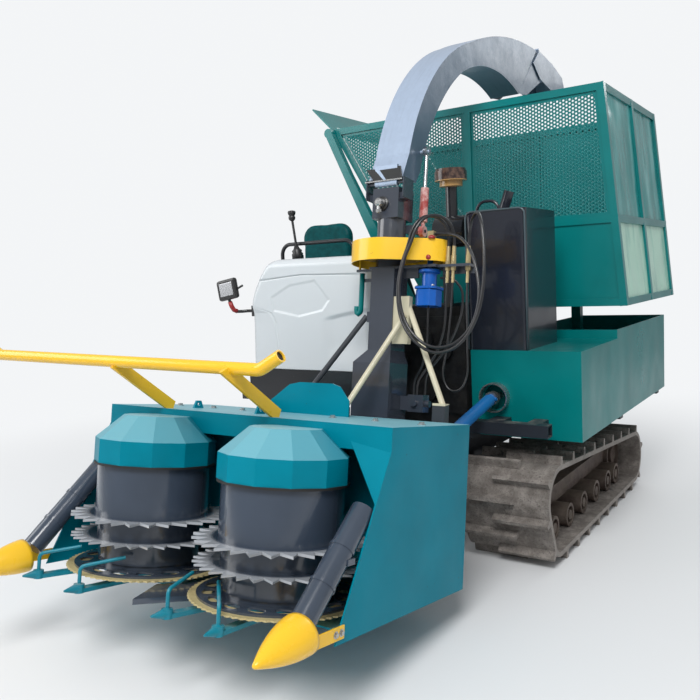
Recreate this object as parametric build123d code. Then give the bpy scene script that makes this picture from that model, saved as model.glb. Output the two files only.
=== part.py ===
"""Crawler forage harvester with a two-rotor row-free header, a blowing spout and a side-tipping bin.

Millimetres. The machine is drawn about its own centre plane at X = 0, its front towards -Y, the ground at 0.
Each piece is then moved by SHIFT, so that the row's origin is the middle of the whole outline on the ground.
"""
import math
import os

from build123d import *

SHIFT = Vector(105, -50, 0)

# tracks
BELT_IN, BELT_OUT = 443, 893
BELT_T = 24
LUG_H = 40
LUG_PITCH = 90
SPROCKET_Y, SPROCKET_Z, SPROCKET_R = 60, 322, 165
ROLLER1_Y, ROLLER1_Z, ROLLER1_R = 60, 140, 100
IDLER_Y, IDLER_Z, IDLER_R = 1505, 200, 160
TRACK_X = (BELT_IN + BELT_OUT) / 2

# chassis
RAIL_X0, RAIL_X1 = 300, 372
RAIL_Z0, RAIL_Z1 = 440, 580
RAIL_Y0, RAIL_Y1 = 60, 1900
BODY_X0, BODY_X1 = 430, 993
BODY_Y0, BODY_Y1 = 96, 1895
BODY_YR = 732
BODY_Z0, DECK_Z, RIM_Z = 600, 1033, 1081
WALL = 6

# header, in its own tilted frame: X across, second number rearwards, third number up
PITCH = 10
HEAD_Y, HEAD_Z = -1616, 301
HALF = 742
SIDE_REAR, SIDE_TOP = 910, 671
BEAM_U, BEAM_W = 288, 589
BAY_U = 534
ROTOR_X, ROTOR_U = 342, 205
DRUM_R = 226
HOOD_R, HOOD_W0, HOOD_W1, HOOD_W2 = 244, 456, 550, 645
HOOD_TOP_R = 136
RING_R = 318
SAW_R = 322
COL_X, COL_U = 215, 1085
COL_S = 126

# joints
LIFT_Y, LIFT_Z = 20, 520
SPOUT_PIN_U, SPOUT_PIN_W = 1022, 1765
SPOUT_X0, SPOUT_X1 = 112, 297
BIN_PIN_X, BIN_PIN_Z = -838, 2370

# bin
BIN_Y0, BIN_Y1 = 783, 1988
BIN_Z0, BIN_ZM, BIN_Z1 = 1206, 1676, 2399
BIN_RX0, BIN_RX1 = 1036, 923
BIN_LX0, BIN_LX1 = -150, -838
TUBE = 40
SHEET = 4

os.makedirs("parts", exist_ok=True)
HEAD = Pos(0, HEAD_Y, HEAD_Z) * Rot(-PITCH, 0, 0)


def box(x0, x1, y0, y1, z0, z1):
    middle = Pos((x0 + x1) / 2, (y0 + y1) / 2, (z0 + z1) / 2)
    return middle * Box(abs(x1 - x0), abs(y1 - y0), abs(z1 - z0))


def rod(p, q, r, hole=0):
    p, q = Vector(*p), Vector(*q)
    plane = Plane(origin=p, z_dir=(q - p))
    body = Solid.make_cylinder(r, (q - p).length, plane)
    if hole:
        body = body - Solid.make_cylinder(hole, (q - p).length, plane)
    return body


def bar(p, q, across, deep, side=(1, 0, 0)):
    """A straight flat or box bar from p to q; across is measured along side."""
    p, q = Vector(*p), Vector(*q)
    plane = Plane(origin=p, x_dir=Vector(*side), z_dir=(q - p))
    return extrude(plane * Rectangle(across, deep), (q - p).length)


def pipe(points, bend, r):
    """A round tube bent along points."""
    wire = FilletPolyline(*points, radius=bend)
    start = Plane(origin=wire @ 0, z_dir=wire % 0)
    return sweep(start * Circle(r), path=wire)


def plate_x(outline, x0, x1):
    """A plate whose outline is given as (y, z) pairs, between x0 and x1."""
    face = make_face(Polyline(*[(x0, y, z) for y, z in outline], close=True))
    return extrude(face, x1 - x0, dir=(1, 0, 0))


def plate_y(outline, y0, y1):
    """A plate whose outline is given as (x, z) pairs, between y0 and y1."""
    face = make_face(Polyline(*[(x, y0, z) for x, z in outline], close=True))
    return extrude(face, y1 - y0, dir=(0, 1, 0))


def plate_z(outline, z0, z1):
    face = make_face(Polyline(*[(x, y, z0) for x, y in outline], close=True))
    return extrude(face, z1 - z0, dir=(0, 0, 1))


def mirror_x(shape):
    return mirror(shape, about=Plane.YZ)


def union(*shapes):
    out = shapes[0]
    for s in shapes[1:]:
        out = out + s
    return out


PIECES = {}


def keep(name, *shapes, place=None):
    """Stores a piece; solids that don't touch stay apart, as one node."""
    solids = []
    for s in shapes:
        moved = place * s if place else s
        solids += moved.solids()
    PIECES[name] = [s.moved(Location(SHIFT)) for s in solids]


# tracks: one closed loop each, with long and short lugs by turns
def hull_path(circles):
    """Outline of a belt pulled tight round circles (y, z, r), anticlockwise from the ground run's front."""
    runs = []
    n = len(circles)
    for i in range(n):
        (y0, z0, r0), (y1, z1, r1) = circles[i], circles[(i + 1) % n]
        d = math.hypot(y1 - y0, z1 - z0)
        a = math.atan2(z1 - z0, y1 - y0)
        b = a - math.acos((r0 - r1) / d)
        start = (y0 + r0 * math.cos(b), z0 + r0 * math.sin(b))
        end = (y1 + r1 * math.cos(b), z1 + r1 * math.sin(b))
        runs.append((start, end, b))
    return runs


def belt_line(extra):
    circles = [(ROLLER1_Y, ROLLER1_Z, ROLLER1_R + extra), (IDLER_Y, IDLER_Z, IDLER_R + extra),
               (SPROCKET_Y, SPROCKET_Z, SPROCKET_R + extra)]
    return circles, hull_path(circles)


def belt_face(extra):
    circles, runs = belt_line(extra)
    edges = []
    n = len(circles)
    for i in range(n):
        p, q, b = runs[i]
        edges.append(Line((p[0], p[1]), (q[0], q[1])))
        c = circles[(i + 1) % n]
        nxt = runs[(i + 1) % n]
        b2 = nxt[2]
        while b2 < b:
            b2 += 2 * math.pi
        mid = (b + b2) / 2
        m = (c[0] + c[2] * math.cos(mid), c[1] + c[2] * math.sin(mid))
        edges.append(ThreePointArc(q, m, nxt[0]))
    return make_face(Wire(edges))


def belt_stations(extra):
    """Points along the loop with their outward angle, spaced as near the lug pitch as the loop allows."""
    circles, runs = belt_line(extra)
    pieces = []
    n = len(circles)
    for i in range(n):
        p, q, b = runs[i]
        pieces.append(("line", p, q, b, math.dist(p, q)))
        c = circles[(i + 1) % n]
        b2 = runs[(i + 1) % n][2]
        while b2 < b:
            b2 += 2 * math.pi
        pieces.append(("arc", c, b, b2, c[2] * (b2 - b)))
    total = sum(s[4] for s in pieces)
    count = 2 * round(total / LUG_PITCH / 2)
    out = []
    for k in range(count):
        s = total * k / count
        for kind, a, b, c, length in pieces:
            if s <= length:
                if kind == "line":
                    t = s / length
                    out.append((a[0] + (b[0] - a[0]) * t, a[1] + (b[1] - a[1]) * t, c))
                else:
                    ang = b + (c - b) * s / length
                    out.append((a[0] + a[2] * math.cos(ang), a[1] + a[2] * math.sin(ang), ang))
                break
            s -= length
    return out


LUG_BASE, LUG_TIP = 34, 18
# lug rows: start and end across the belt as shares of its width, for the even and the odd stations
LUG_SPANS = (((0.0, 0.62),), ((0.38, 1.0),))
YZ = Plane(origin=(0, 0, 0), x_dir=(0, 1, 0), z_dir=(1, 0, 0))


def track():
    belt = extrude(YZ * (belt_face(0) - belt_face(-BELT_T)), BELT_OUT - BELT_IN)
    belt = Pos(BELT_IN, 0, 0) * belt
    solids = [belt]
    width = BELT_OUT - BELT_IN
    for k, (y, z, a) in enumerate(belt_stations(0)):
        n = (math.cos(a), math.sin(a))
        t = (-n[1], n[0])
        corners = [(-LUG_BASE / 2, -4), (LUG_BASE / 2, -4), (LUG_TIP / 2, LUG_H), (-LUG_TIP / 2, LUG_H)]
        outline = [(y + t[0] * c + n[0] * h, z + t[1] * c + n[1] * h) for c, h in corners]
        for s0, s1 in LUG_SPANS[k % 2]:
            solids.append(plate_x(outline, BELT_IN + width * s0, BELT_IN + width * s1))
    return solids[0].fuse(*solids[1:])


track_r = track()
keep("track_right", track_r)
keep("track_left", mirror_x(track_r))

# rollers, sprocket and idler of each track, on the track frame
GAP = 0.3
INSIDE = BELT_T + GAP
ROLLER_R = 62
ROLLER_Z = LUG_H + INSIDE + ROLLER_R
ROLLER_YS = (190, 430, 670, 910, 1150, 1330)
BEAM_HALF, BEAM_Z0, BEAM_Z1 = 60, 181, 270
AXLE_HALF = 150
# wheels: y, z, radius, half width, depth of the dish, hub radius
WHEELS = ((SPROCKET_Y, SPROCKET_Z, SPROCKET_R - INSIDE, 85, 19, 60),
          (ROLLER1_Y, ROLLER1_Z, ROLLER1_R - INSIDE, 150, 34, 34),
          (IDLER_Y, IDLER_Z, IDLER_R - INSIDE, 85, 19, 52))
WHEELS += tuple((y, ROLLER_Z, ROLLER_R, AXLE_HALF, 26, 26) for y in ROLLER_YS)
RIM = 16


def wheel(y, z, r, half, dish, hub):
    """A wheel on an axle along X, dished on both sides between its rim and its hub."""
    whole = rod((TRACK_X - half, y, z), (TRACK_X + half, y, z), r)
    for s in (-1, 1):
        deep, face = TRACK_X + s * (half - dish), TRACK_X + s * (half + 1)
        whole = whole - rod((deep, y, z), (face, y, z), r - RIM, hub)
    return whole


gear = union(
    box(TRACK_X - BEAM_HALF, TRACK_X + BEAM_HALF, 110, 1420, BEAM_Z0, BEAM_Z1),
    box(RAIL_X1, TRACK_X - BEAM_HALF, 300, 380, 200, 262),
    box(RAIL_X1, TRACK_X - BEAM_HALF, 1200, 1280, 200, 262),
    bar((TRACK_X, 250, 230), (TRACK_X, SPROCKET_Y + 10, SPROCKET_Z), 90, 90),
    box(TRACK_X - 40, TRACK_X + 40, ROLLER1_Y, 200, 120, 230),
    *[wheel(*row) for row in WHEELS])
keep("track_frames", gear, mirror_x(gear))

# chassis: two rails with cross members, lift lugs and front step beam
LEG_YS = (300, 1200)
LEG_LENGTH = 80
crosses = [box(-RAIL_X0, RAIL_X0, y, y + 70, RAIL_Z0 + 10, RAIL_Z1 - 10) for y in (RAIL_Y0, 900, 1830)]
LIFT_X = 365
EAR_T = 16
ARM_T = 40
CYL_Y, CYL_Z = 60, 330
sides = []
for s in (-1, 1):
    ears = [box(s * RAIL_X0, s * RAIL_X1, RAIL_Y0, RAIL_Y1, RAIL_Z0, RAIL_Z1)]
    for y in LEG_YS:
        ears.append(box(s * RAIL_X0, s * RAIL_X1, y, y + LEG_LENGTH, 200, RAIL_Z0))
    for off in (-(ARM_T / 2 + 5 + EAR_T), ARM_T / 2 + 5):
        x = s * LIFT_X + off
        ear = [(LIFT_Y - 35, LIFT_Z - 35), (RAIL_Y0 + 40, 280), (RAIL_Y0 + 90, 280), (RAIL_Y0 + 90, RAIL_Z1),
               (LIFT_Y - 35, LIFT_Z + 40)]
        ears.append(plate_x(ear, x, x + EAR_T))
    ears.append(rod((s * LIFT_X - 45, LIFT_Y, LIFT_Z), (s * LIFT_X + 45, LIFT_Y, LIFT_Z), 15))
    ears.append(rod((s * LIFT_X - 45, CYL_Y, CYL_Z), (s * LIFT_X + 45, CYL_Y, CYL_Z), 12))
    ears.append(box(s * LIFT_X - 41, s * LIFT_X + 41, RAIL_Y0 + 60, RAIL_Y0 + 90, 290, RAIL_Z1))
    sides.append(union(*ears))
# step beam in front of the right body: x0, x1, y0, y1, z0, z1
STEP_BARS = ((430, 880, -60, 0, 640, 700), (560, 640, 0, BODY_Y0, 640, 700), (760, 830, 0, BODY_Y0, 640, 700),
             (RAIL_X0, 440, 60, BODY_Y0, RAIL_Z1, 640), (405, 470, -60, BODY_Y0, 600, 660))
step_beam = union(*[box(*row) for row in STEP_BARS]) - box(850, 881, -54, -6, 646, 694)
tow = union(box(-60, 60, RAIL_Y1, RAIL_Y1 + 20, RAIL_Z0, RAIL_Z1),
            box(-30, 30, RAIL_Y1 + 20, RAIL_Y1 + 84, 478, 498),
            box(-30, 30, RAIL_Y1 + 20, RAIL_Y1 + 84, 528, 548))
tow = tow - rod((0, RAIL_Y1 + 55, 470), (0, RAIL_Y1 + 55, 560), 13)
body_bars = [box(-BODY_X1 + 8, BODY_X1 - 8, y, y + 60, RAIL_Z1, BODY_Z0) for y in (800, 1700)]
keep("chassis_frame", *sides, *crosses, step_beam - sides[1], tow, *body_bars)

# lower body: closed tank in front, open-topped bay under the bin; a shorter bay on the left
CAB_X0, CAB_X1, CAB_Y0, CAB_Y1, CAB_Z1 = 415, 728, 110, 560, 1727
DECK_T = 3
DECK_EDGE = 2
PTO_X, PTO_Y, PTO_Z = 560, 30, 798
deck_sheet = box(CAB_X1 + DECK_EDGE, BODY_X1, BODY_Y0, BODY_YR, DECK_Z - DECK_T, DECK_Z)
tank = box(BODY_X0, BODY_X1, BODY_Y0, BODY_YR, BODY_Z0, DECK_Z) - deck_sheet
tank = tank - rod((PTO_X, BODY_Y0 - 1, PTO_Z), (PTO_X, BODY_Y0 + 60, PTO_Z), 62)


def bay(x0, x1, y0, y1):
    """Five welded sheets round an open-topped bay."""
    x0, x1 = min(x0, x1), max(x0, x1)
    return [box(x0, x1, y0, y1, BODY_Z0, BODY_Z0 + WALL),
            box(x0, x0 + WALL, y0, y1, BODY_Z0 + WALL, RIM_Z),
            box(x1 - WALL, x1, y0, y1, BODY_Z0 + WALL, RIM_Z),
            box(x0 + WALL, x1 - WALL, y0, y0 + WALL, BODY_Z0 + WALL, RIM_Z),
            box(x0 + WALL, x1 - WALL, y1 - WALL, y1, BODY_Z0 + WALL, RIM_Z)]


LEFT_Y0 = 900
right_bay = bay(BODY_X0, BODY_X1, BODY_YR, BODY_Y1)
left_bay = bay(-BODY_X1, -BODY_X0, LEFT_Y0, BODY_Y1)
CROSS_R, CROSS_HALF, CROSS_GAP = 8, 33, 0.3
YOKE_R, BALL_ROOM = 34, 24.3
outlet_shaft = rod((PTO_X, BODY_Y0 + 60, PTO_Z), (PTO_X, PTO_Y + 26, PTO_Z), 17)
yoke = rod((PTO_X, PTO_Y + 2, PTO_Z), (PTO_X, PTO_Y + 40, PTO_Z), YOKE_R) - \
    Pos(PTO_X, PTO_Y, PTO_Z) * Sphere(BALL_ROOM) - \
    rod((PTO_X - 40, PTO_Y, PTO_Z), (PTO_X + 40, PTO_Y, PTO_Z), CROSS_R + CROSS_GAP)
hood_ring = rod((PTO_X, BODY_Y0 - 40, PTO_Z), (PTO_X, BODY_Y0, PTO_Z), 75, 68)
keep("power_outlet", outlet_shaft + yoke + hood_ring)

# engine, intake and cabinet
ENG_X0, ENG_X1, ENG_Y0, ENG_Y1 = -190, 290, 330, 722
PAN_Z, BLOCK_Z, ENG_HEAD_Z, ENG_Z1 = 590, 650, 1120, 1250
FEET_Z = 600
FILTER_Z = 806
# pulleys on the engine's front: x, z, radius, depth
PULLEYS = ((40, 800, 92, 34), (-96, 940, 42, 34), (168, 1000, 50, 34), (40, 1064, 60, 30))
engine = union(
    box(ENG_X0 + 40, ENG_X1 - 40, ENG_Y0 + 30, ENG_Y1 - 30, PAN_Z, BLOCK_Z),
    box(ENG_X0, ENG_X1, ENG_Y0, ENG_Y1, BLOCK_Z, ENG_HEAD_Z),
    box(ENG_X0 + 30, ENG_X1, ENG_Y0, ENG_Y1 - 60, ENG_HEAD_Z, ENG_Z1 - 60),
    box(ENG_X0 + 60, ENG_X1, ENG_Y0 + 12, ENG_Y1 - 90, ENG_Z1 - 60, ENG_Z1),
    box(-340, 340, 360, 420, RAIL_Z1, FEET_Z), box(-340, 340, 640, 700, RAIL_Z1, FEET_Z),
    rod((ENG_X0 - 50, 520, FILTER_Z), (ENG_X0 - 50, 520, FILTER_Z + 130), 42),
    box(ENG_X0 - 50, ENG_X0, 490, 550, FILTER_Z + 90, FILTER_Z + 150),
    *[rod((x, ENG_Y0 - deep, z), (x, ENG_Y0, z), r) for x, z, r, deep in PULLEYS])
keep("engine_block", engine)
cabinet = box(CAB_X0, CAB_X1, CAB_Y0, CAB_Y1, DECK_Z, CAB_Z1)
cabinet = fillet(cabinet.edges().filter_by(Axis.Z), 22)
keep("cabinet", cabinet + rod((520, 330, CAB_Z1 - 20), (566, 330, 1832), 27) +
     pipe([(440, 200, CAB_Z1 - 5), (440, 200, 1780), (560, 200, 1780), (560, 200, CAB_Z1 - 5)], 50, 8))
IN_X, IN_Y, IN_Z0, IN_Z1 = 300, 200, 1560, 1640
# intake's upright tube, collar, bowl and rim: z0, z1, radius
INTAKE = ((IN_Z0, 1872, 31), (1872, 1900, 60), (1900, 1950, 84), (1950, 1962, 78))
intake = union(*[rod((IN_X, IN_Y, z0), (IN_X, IN_Y, z1), r) for z0, z1, r in INTAKE])
intake = intake + rod((220, IN_Y, IN_Z1), (390, IN_Y, IN_Z1), 82) + box(240, 288, 190, 210, ENG_Z1, 1600) + \
    box(240, 288, 190, ENG_Y0 + 15, ENG_Z1, ENG_Z1 + 16)
keep("air_intake", intake)

# operator's place
FLOOR_Z = 790
FLOOR_T = 30
UNDER = FLOOR_Z - FLOOR_T
floor = box(-885, -200, -190, 640, UNDER, FLOOR_Z) + box(-372, -300, 200, 280, RAIL_Z1, UNDER) + \
    box(-372, -300, 560, 620, RAIL_Z1, UNDER) + box(-800, -372, 560, 600, 700, UNDER)
keep("platform", floor + box(-812, 17, -197, 57, FLOOR_Z, 940))
COWL_Y, COWL_BACK = -200, 60
COWL = ((-815, 940), (20, 940), (20, 1500), (-30, 1540), (-640, 1544), (-700, 1490), (-790, 1330))
outer = plate_y(COWL, COWL_Y, COWL_BACK)
outer = fillet(outer.edges().group_by(Axis.Y)[0], 45)
COWL_IN = ((-809, 934), (14, 934), (14, 1496), (-34, 1534), (-636, 1538), (-695, 1485), (-784, 1328))
inner = plate_y(COWL_IN, COWL_Y + 8, COWL_BACK + 1)
inner = fillet(inner.edges().group_by(Axis.Y)[0], 40)
keep("cowl", outer - inner)
SEAT_X, SEAT_HALF = -700, 185
keep("seat_base", box(SEAT_X - 180, SEAT_X + 180, 160, 510, FLOOR_Z, 1300))
cushion = box(SEAT_X - SEAT_HALF, SEAT_X + SEAT_HALF, 130, 450, 1300, 1390)
keep("seat_cushion", fillet(cushion.edges().group_by(Axis.Z)[-1], 28))
back = box(SEAT_X - SEAT_HALF, SEAT_X + SEAT_HALF, 450.3, 516, 1300.3, 1770)
keep("seat_back", fillet(back.edges().group_by(Axis.Z)[-1], 30))
rail = pipe([(-770, 108, FLOOR_Z), (-770, 108, 1636), (-260, 108, 1636), (-260, 108, FLOOR_Z)], 60, 11)
keep("grab_rail", rail)
lever = rod((-632, 77, 1560), (-660, 77, 1775), 7) + Pos(-661, 77, 1786) * Sphere(20) + \
    box(-665, -600, 64, 90, FLOOR_Z, 1570)
keep("control_levers", lever)
mirror_head = Pos(-926, -212, 1392) * Rot(0, 8, 0) * Box(146, 28, 118)
arm = pipe([(-926, -206, 1345), (-912, -190, 1264), (-860, -130, 1264), (-790, -130, 1264)], 24, 9)
foot = box(-812, -790, -150, -110, 1234, 1294)
keep("mirror", mirror_head + arm + foot - outer)

# header shell
side = [(0, 0), (SIDE_REAR, 0), (SIDE_REAR, SIDE_TOP), (BEAM_U, SIDE_TOP), (BEAM_U, BEAM_W)]
shell = [plate_x(side, HALF - WALL, HALF), plate_x(side, -HALF, -HALF + WALL)]
IN = HALF - WALL
shell.append(box(-IN, IN, BEAM_U, SIDE_REAR, SIDE_TOP - WALL, SIDE_TOP))
shell.append(box(-IN, IN, BEAM_U, BEAM_U + WALL, BEAM_W - WALL, SIDE_TOP - WALL))
shell.append(box(-IN, IN, BEAM_U + WALL, BAY_U + WALL, BEAM_W - WALL, BEAM_W))
shell.append(box(-IN, IN, BAY_U, BAY_U + WALL, 60, BEAM_W - WALL))
shell.append(box(-IN, IN, SIDE_REAR - WALL, SIDE_REAR, 0, SIDE_TOP - WALL))
shell.append(box(-IN, IN, 120, SIDE_REAR - WALL, 0, WALL))
shell = union(*shell)
THROAT = (-150, 150, 90, 400)
shell = shell - box(THROAT[0], THROAT[1], BAY_U - 1, BAY_U + WALL + 1, THROAT[2], THROAT[3])
shell = shell - box(40, 300, SIDE_REAR - WALL - 1, SIDE_REAR + 1, 120, 380)
HOOD_PLATE = ((-235, SIDE_TOP), (250, SIDE_TOP), (250, 740), (200, 800), (160, 812), (-20, 812), (-80, 800),
              (-162, 741), (-235, 690))
hood_plate = plate_y(HOOD_PLATE, 740, 746)
shell = shell + hood_plate + bar((-232, 743, 700), (140, 345, 700), 6, 58, side=(1, 0.93, 0))
# lifting eyes on the beam's top: x, u
for x, u in ((-420, 480), (0, 420)):
    eye = [(u, SIDE_TOP), (u + 60, SIDE_TOP), (u + 44, SIDE_TOP + 34), (u + 16, SIDE_TOP + 34)]
    shell = shell + plate_x(eye, x - 5, x + 5) - rod((x - 6, u + 30, SIDE_TOP + 18),
                                                     (x + 6, u + 30, SIDE_TOP + 18), 8)
# sloped sheet in each front corner, from the beam's front to the side plate's edge: x, u, w
DEFLECTOR = ((566, BEAM_U + 2, 616), (IN + 1, BEAM_U + 2, 589), (IN + 1, 202, 414))
DEFLECTOR_T = 5
for s in (-1, 1):
    sheet = make_face(Polyline(*[(s * x, u, w) for x, u, w in DEFLECTOR], close=True))
    shell = shell + extrude(sheet, DEFLECTOR_T, dir=(0, 1, 0))
keep("header_shell", shell, place=HEAD)


UPRIGHT = (Align.CENTER, Align.CENTER, Align.MIN)
FACET_DEG = 30


def hood(x):
    """Cover over a rotor: a faceted rim, a cone of as many faces on it, hollow below."""
    facets = round(360 / FACET_DEG)
    turned = FACET_DEG / 2
    rim = Pos(x, ROTOR_U, HOOD_W0) * extrude(RegularPolygon(HOOD_R, facets, rotation=turned),
                                             HOOD_W1 - HOOD_W0)
    lower = Pos(x, ROTOR_U, HOOD_W1) * RegularPolygon(HOOD_R, facets, rotation=turned)
    upper = Pos(x, ROTOR_U, HOOD_W2) * RegularPolygon(HOOD_TOP_R, facets, rotation=turned)
    cone = loft([lower, upper])
    room = HOOD_R * math.cos(math.pi / facets) - 5
    inside = Pos(x, ROTOR_U, HOOD_W0 - 1) * Cylinder(room, HOOD_W1 - HOOD_W0 - 8, align=UPRIGHT)
    whole = rim + cone - inside
    whole = whole - box(x - 300, x + 300, BEAM_U - 0.4, BEAM_U + 400, BEAM_W - WALL - 0.4, 900)
    return whole


# each hood hangs from a bracket under the beam
hood_l = hood(-ROTOR_X) + box(-ROTOR_X - 60, -ROTOR_X + 60, BEAM_U + 20, BEAM_U + 100, 545, BEAM_W - WALL)
hood_r = hood(ROTOR_X) + box(ROTOR_X - 60, ROTOR_X + 60, BEAM_U + 20, BEAM_U + 100, 545, BEAM_W - WALL)
keep("rotor_hoods", hood_l, hood_r, place=HEAD)


TOOTH_RAKE = 0.62


def ring(x, w, teeth, r_tip, r_root, r_in, thick, phase=0.0):
    """A flat ring of pointed teeth that rake forward, under a step of the drum."""
    pts = []
    for k in range(teeth):
        a = 2 * math.pi * (k + phase) / teeth
        da = 2 * math.pi / teeth
        pts.append((x + r_root * math.cos(a), ROTOR_U + r_root * math.sin(a)))
        tip = a + TOOTH_RAKE * da
        pts.append((x + r_tip * math.cos(tip), ROTOR_U + r_tip * math.sin(tip)))
    return plate_z(pts, w, w + thick) - Pos(x, ROTOR_U, w) * Cylinder(r_in, 3 * thick)


def rotor(x):
    """Drum of three steps, and the two toothed rings screwed up against the steps."""
    w0, w1, w2 = STEP_WS
    r0, r1 = STEP_RS
    profile = [(0, w0), (r0, w0), (r0, w1), (r1, w1), (r1, w2), (DRUM_R, w2), (DRUM_R, DRUM_TOP),
               (NECK_R, DRUM_TOP), (NECK_R, NECK_TOP), (0, NECK_TOP)]
    face = make_face(Polyline(*[(r, 0, w) for r, w in profile], close=True))
    drum = Pos(x, ROTOR_U, 0) * revolve(face, Axis.Z)
    return [drum, ring(x, w2 - RING_T2, 28, RING_R, 262, r1 + RING_GAP, RING_T2),
            ring(x, w1 - RING_T1, 32, RING_R - 6, 262, r0 + RING_GAP, RING_T1, 0.5)]


# drum: heights of its steps' lower faces, their radii, and the neck above
STEP_WS, STEP_RS = (70, 166, 250), (204, 214)
DRUM_TOP, NECK_R, NECK_TOP = 446, 170, 506
RING_T1, RING_T2, RING_GAP = 8, 10, 0.3


SAW_STEP_DEG = 5
SAW_TOOTH = 9


def saw(x):
    """A flat ring with a fine saw edge."""
    steps = round(360 / SAW_STEP_DEG)
    pts = []
    for k in range(steps):
        a = 2 * math.pi * k / steps
        da = 2 * math.pi / steps
        pts.append((x + (SAW_R - SAW_TOOTH) * math.cos(a), ROTOR_U + (SAW_R - SAW_TOOTH) * math.sin(a)))
        pts.append((x + SAW_R * math.cos(a + 0.5 * da), ROTOR_U + SAW_R * math.sin(a + 0.5 * da)))
    disc = plate_z(pts, 40, 46)
    return disc - Pos(x, ROTOR_U, 40) * Cylinder(236, 20)


def spoke_plate(x):
    disc = Pos(x, ROTOR_U, 46) * Cylinder(292, 8, align=UPRIGHT)
    disc = disc + Pos(x, ROTOR_U, 54) * Cylinder(196, 16, align=UPRIGHT) + \
        Pos(x, ROTOR_U, 34.3) * Cylinder(60, 13, align=UPRIGHT)
    slot = Pos(246, 0, 0) * Rot(0, 0, 72) * extrude(SlotOverall(70, 44), 12, both=True)
    for k in range(16):
        disc = disc - Pos(x, ROTOR_U, 50) * Rot(0, 0, 360 * k / 16) * slot
    return disc


for name, x in (("left", -ROTOR_X), ("right", ROTOR_X)):
    keep("rotor_" + name, *rotor(x), spoke_plate(x), place=HEAD)
    keep("saw_disc_" + name, saw(x), place=HEAD)

# gearboxes under the rotors with the crop points, their curved arms and guide rods
# tip x, tip u, arm foot x, rod top x, rod top u
BED_U = 120
POINTS = ((-617, -186, -560, -500, -10), (-330, -204, -318, -235, -10),
          (121, -190, 180, 104, 10), (384, -204, 372, 255, -15))
bed = []
for x in (-ROTOR_X, ROTOR_X):
    bed.append(Pos(x, ROTOR_U, 6) * Cylinder(120, 28, align=UPRIGHT))
    bed.append(box(x - 90, x + 90, ROTOR_U, 560, WALL, 30))

points = []
for tx, tu, fx, rx, ru in POINTS:
    a = math.atan2(BED_U - tu, fx - tx)
    cx, cu = tx + 62 * math.cos(a), tu + 62 * math.sin(a)
    cone = Solid.make_cone(4, 21, 62, Plane(origin=(tx, tu, 4), z_dir=(cx - tx, cu - tu, 0)))
    arm = bar((cx, cu, -3), (fx, BED_U, -3), 36, 16)
    arm = arm - box(fx - 100, fx + 100, BED_U - 0.2, BED_U + 60, -30, 40)
    lift = pipe([(cx, cu, 8), (cx, cu, 84), (rx, ru, 112)], 22, 7)
    points.append(cone + Pos(cx, cu, 4) * Cylinder(20, 32) + arm + lift)
keep("crop_points", *points, place=HEAD)

# dividers between and beside the rotors
wedge = plate_z([(-20, -150), (90, 20), (60, 110), (-60, 110), (-110, 40)], 6, 26)
divider = wedge + box(-40, 40, 110, BAY_U, 6, 22)
side_tubes = []
for s in (-1, 1):
    t = rod((s * 690, -104, 90), (s * 690, 205, 392), 42)
    for share in (0.3, 0.62):
        p = (-104 + 309 * share, 90 + 302 * share)
        t = t + rod((s * 690, p[0] - 4, p[1] - 4), (s * 690, p[0] + 4, p[1] + 4), 45)
    t = t + box(s * 700, s * IN, 60, 100, 235, 255)
    side_tubes.append(t)
keep("crop_dividers", divider, *side_tubes, place=HEAD)


def snout(s):
    base = Plane(origin=(s * 700, -130, 55), x_dir=(1, 0, 0), z_dir=(0, -1, 0))
    tip = Plane(origin=(s * 712, -352, 26), x_dir=(1, 0, 0), z_dir=(0, -1, 0))
    cone = loft([base * RegularPolygon(74, 10), tip * RegularPolygon(8, 10)])
    cone = cone - rod((s * 690, -104 - 80, 90 - 80), (s * 690, 205, 392), 44)
    cone = cone + box(s * HALF, s * (HALF + 6), -150, 40, 18, 60)
    return cone


keep("snouts", snout(1), snout(-1), place=HEAD)

# push bar on two flat arms
BAR_U, BAR_W, BAR_R = 40, 862, 24
BAR_PATH = ((-1238, BAR_U - 60, 905), (-1150, BAR_U - 60, BAR_W + 6), (315, BAR_U + 30, BAR_W - 14),
            (400, BAR_U + 30, BAR_W + 34))
bar_tube = pipe(BAR_PATH, 60, BAR_R)
BAR_ARM = ((340, SIDE_TOP), (300, SIDE_TOP), (BAR_U - 40, BAR_W - 30), (BAR_U - 4, BAR_W - 12),
           (BAR_U + 30, BAR_W - 12), (350, SIDE_TOP + 30))
BAR_ARM_T = 14
arms = [plate_x(BAR_ARM, x - BAR_ARM_T / 2, x + BAR_ARM_T / 2) for x in (-405, 188)]
keep("push_bar", bar_tube + arms[0] + arms[1], place=HEAD)

# chopper housing, column and stays
HOUSE = (20, 318, SIDE_REAR, 1165, 80, 655)
HOUSE_TOP, BASE_TOP, NECK_END = 655, 920, 980
ARM_T1 = 12
ARM_TOP = 1372
ARM_W0 = ARM_TOP - ARM_T1
DUCT_T = 6
MOTOR_X = 430
house = box(*HOUSE)
house = fillet(house.edges().filter_by(Axis.X).group_by(Axis.Z)[0].group_by(Axis.Y)[-1], 120)
base_box = box(87, 290, 1000, 1165, HOUSE_TOP, BASE_TOP)
BASE_MID = (188.5, 1082.5)


def taper(across, deep, top):
    """The piece between the base box and the square column."""
    foot = Plane(origin=(*BASE_MID, BASE_TOP)) * Rectangle(across, deep)
    return loft([foot, Plane(origin=(COL_X, COL_U, NECK_END)) * Rectangle(top, top)])


def square(half, w0, w1):
    return box(COL_X - half, COL_X + half, COL_U - half, COL_U + half, w0, w1)


shaft = square(COL_S / 2, NECK_END, ARM_TOP)
duct = box(107, 270, 1020, 1145, HOUSE_TOP, BASE_TOP) + taper(163, 125, COL_S - 2 * DUCT_T) + \
    square(COL_S / 2 - DUCT_T, NECK_END, ARM_TOP + 1)
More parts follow.
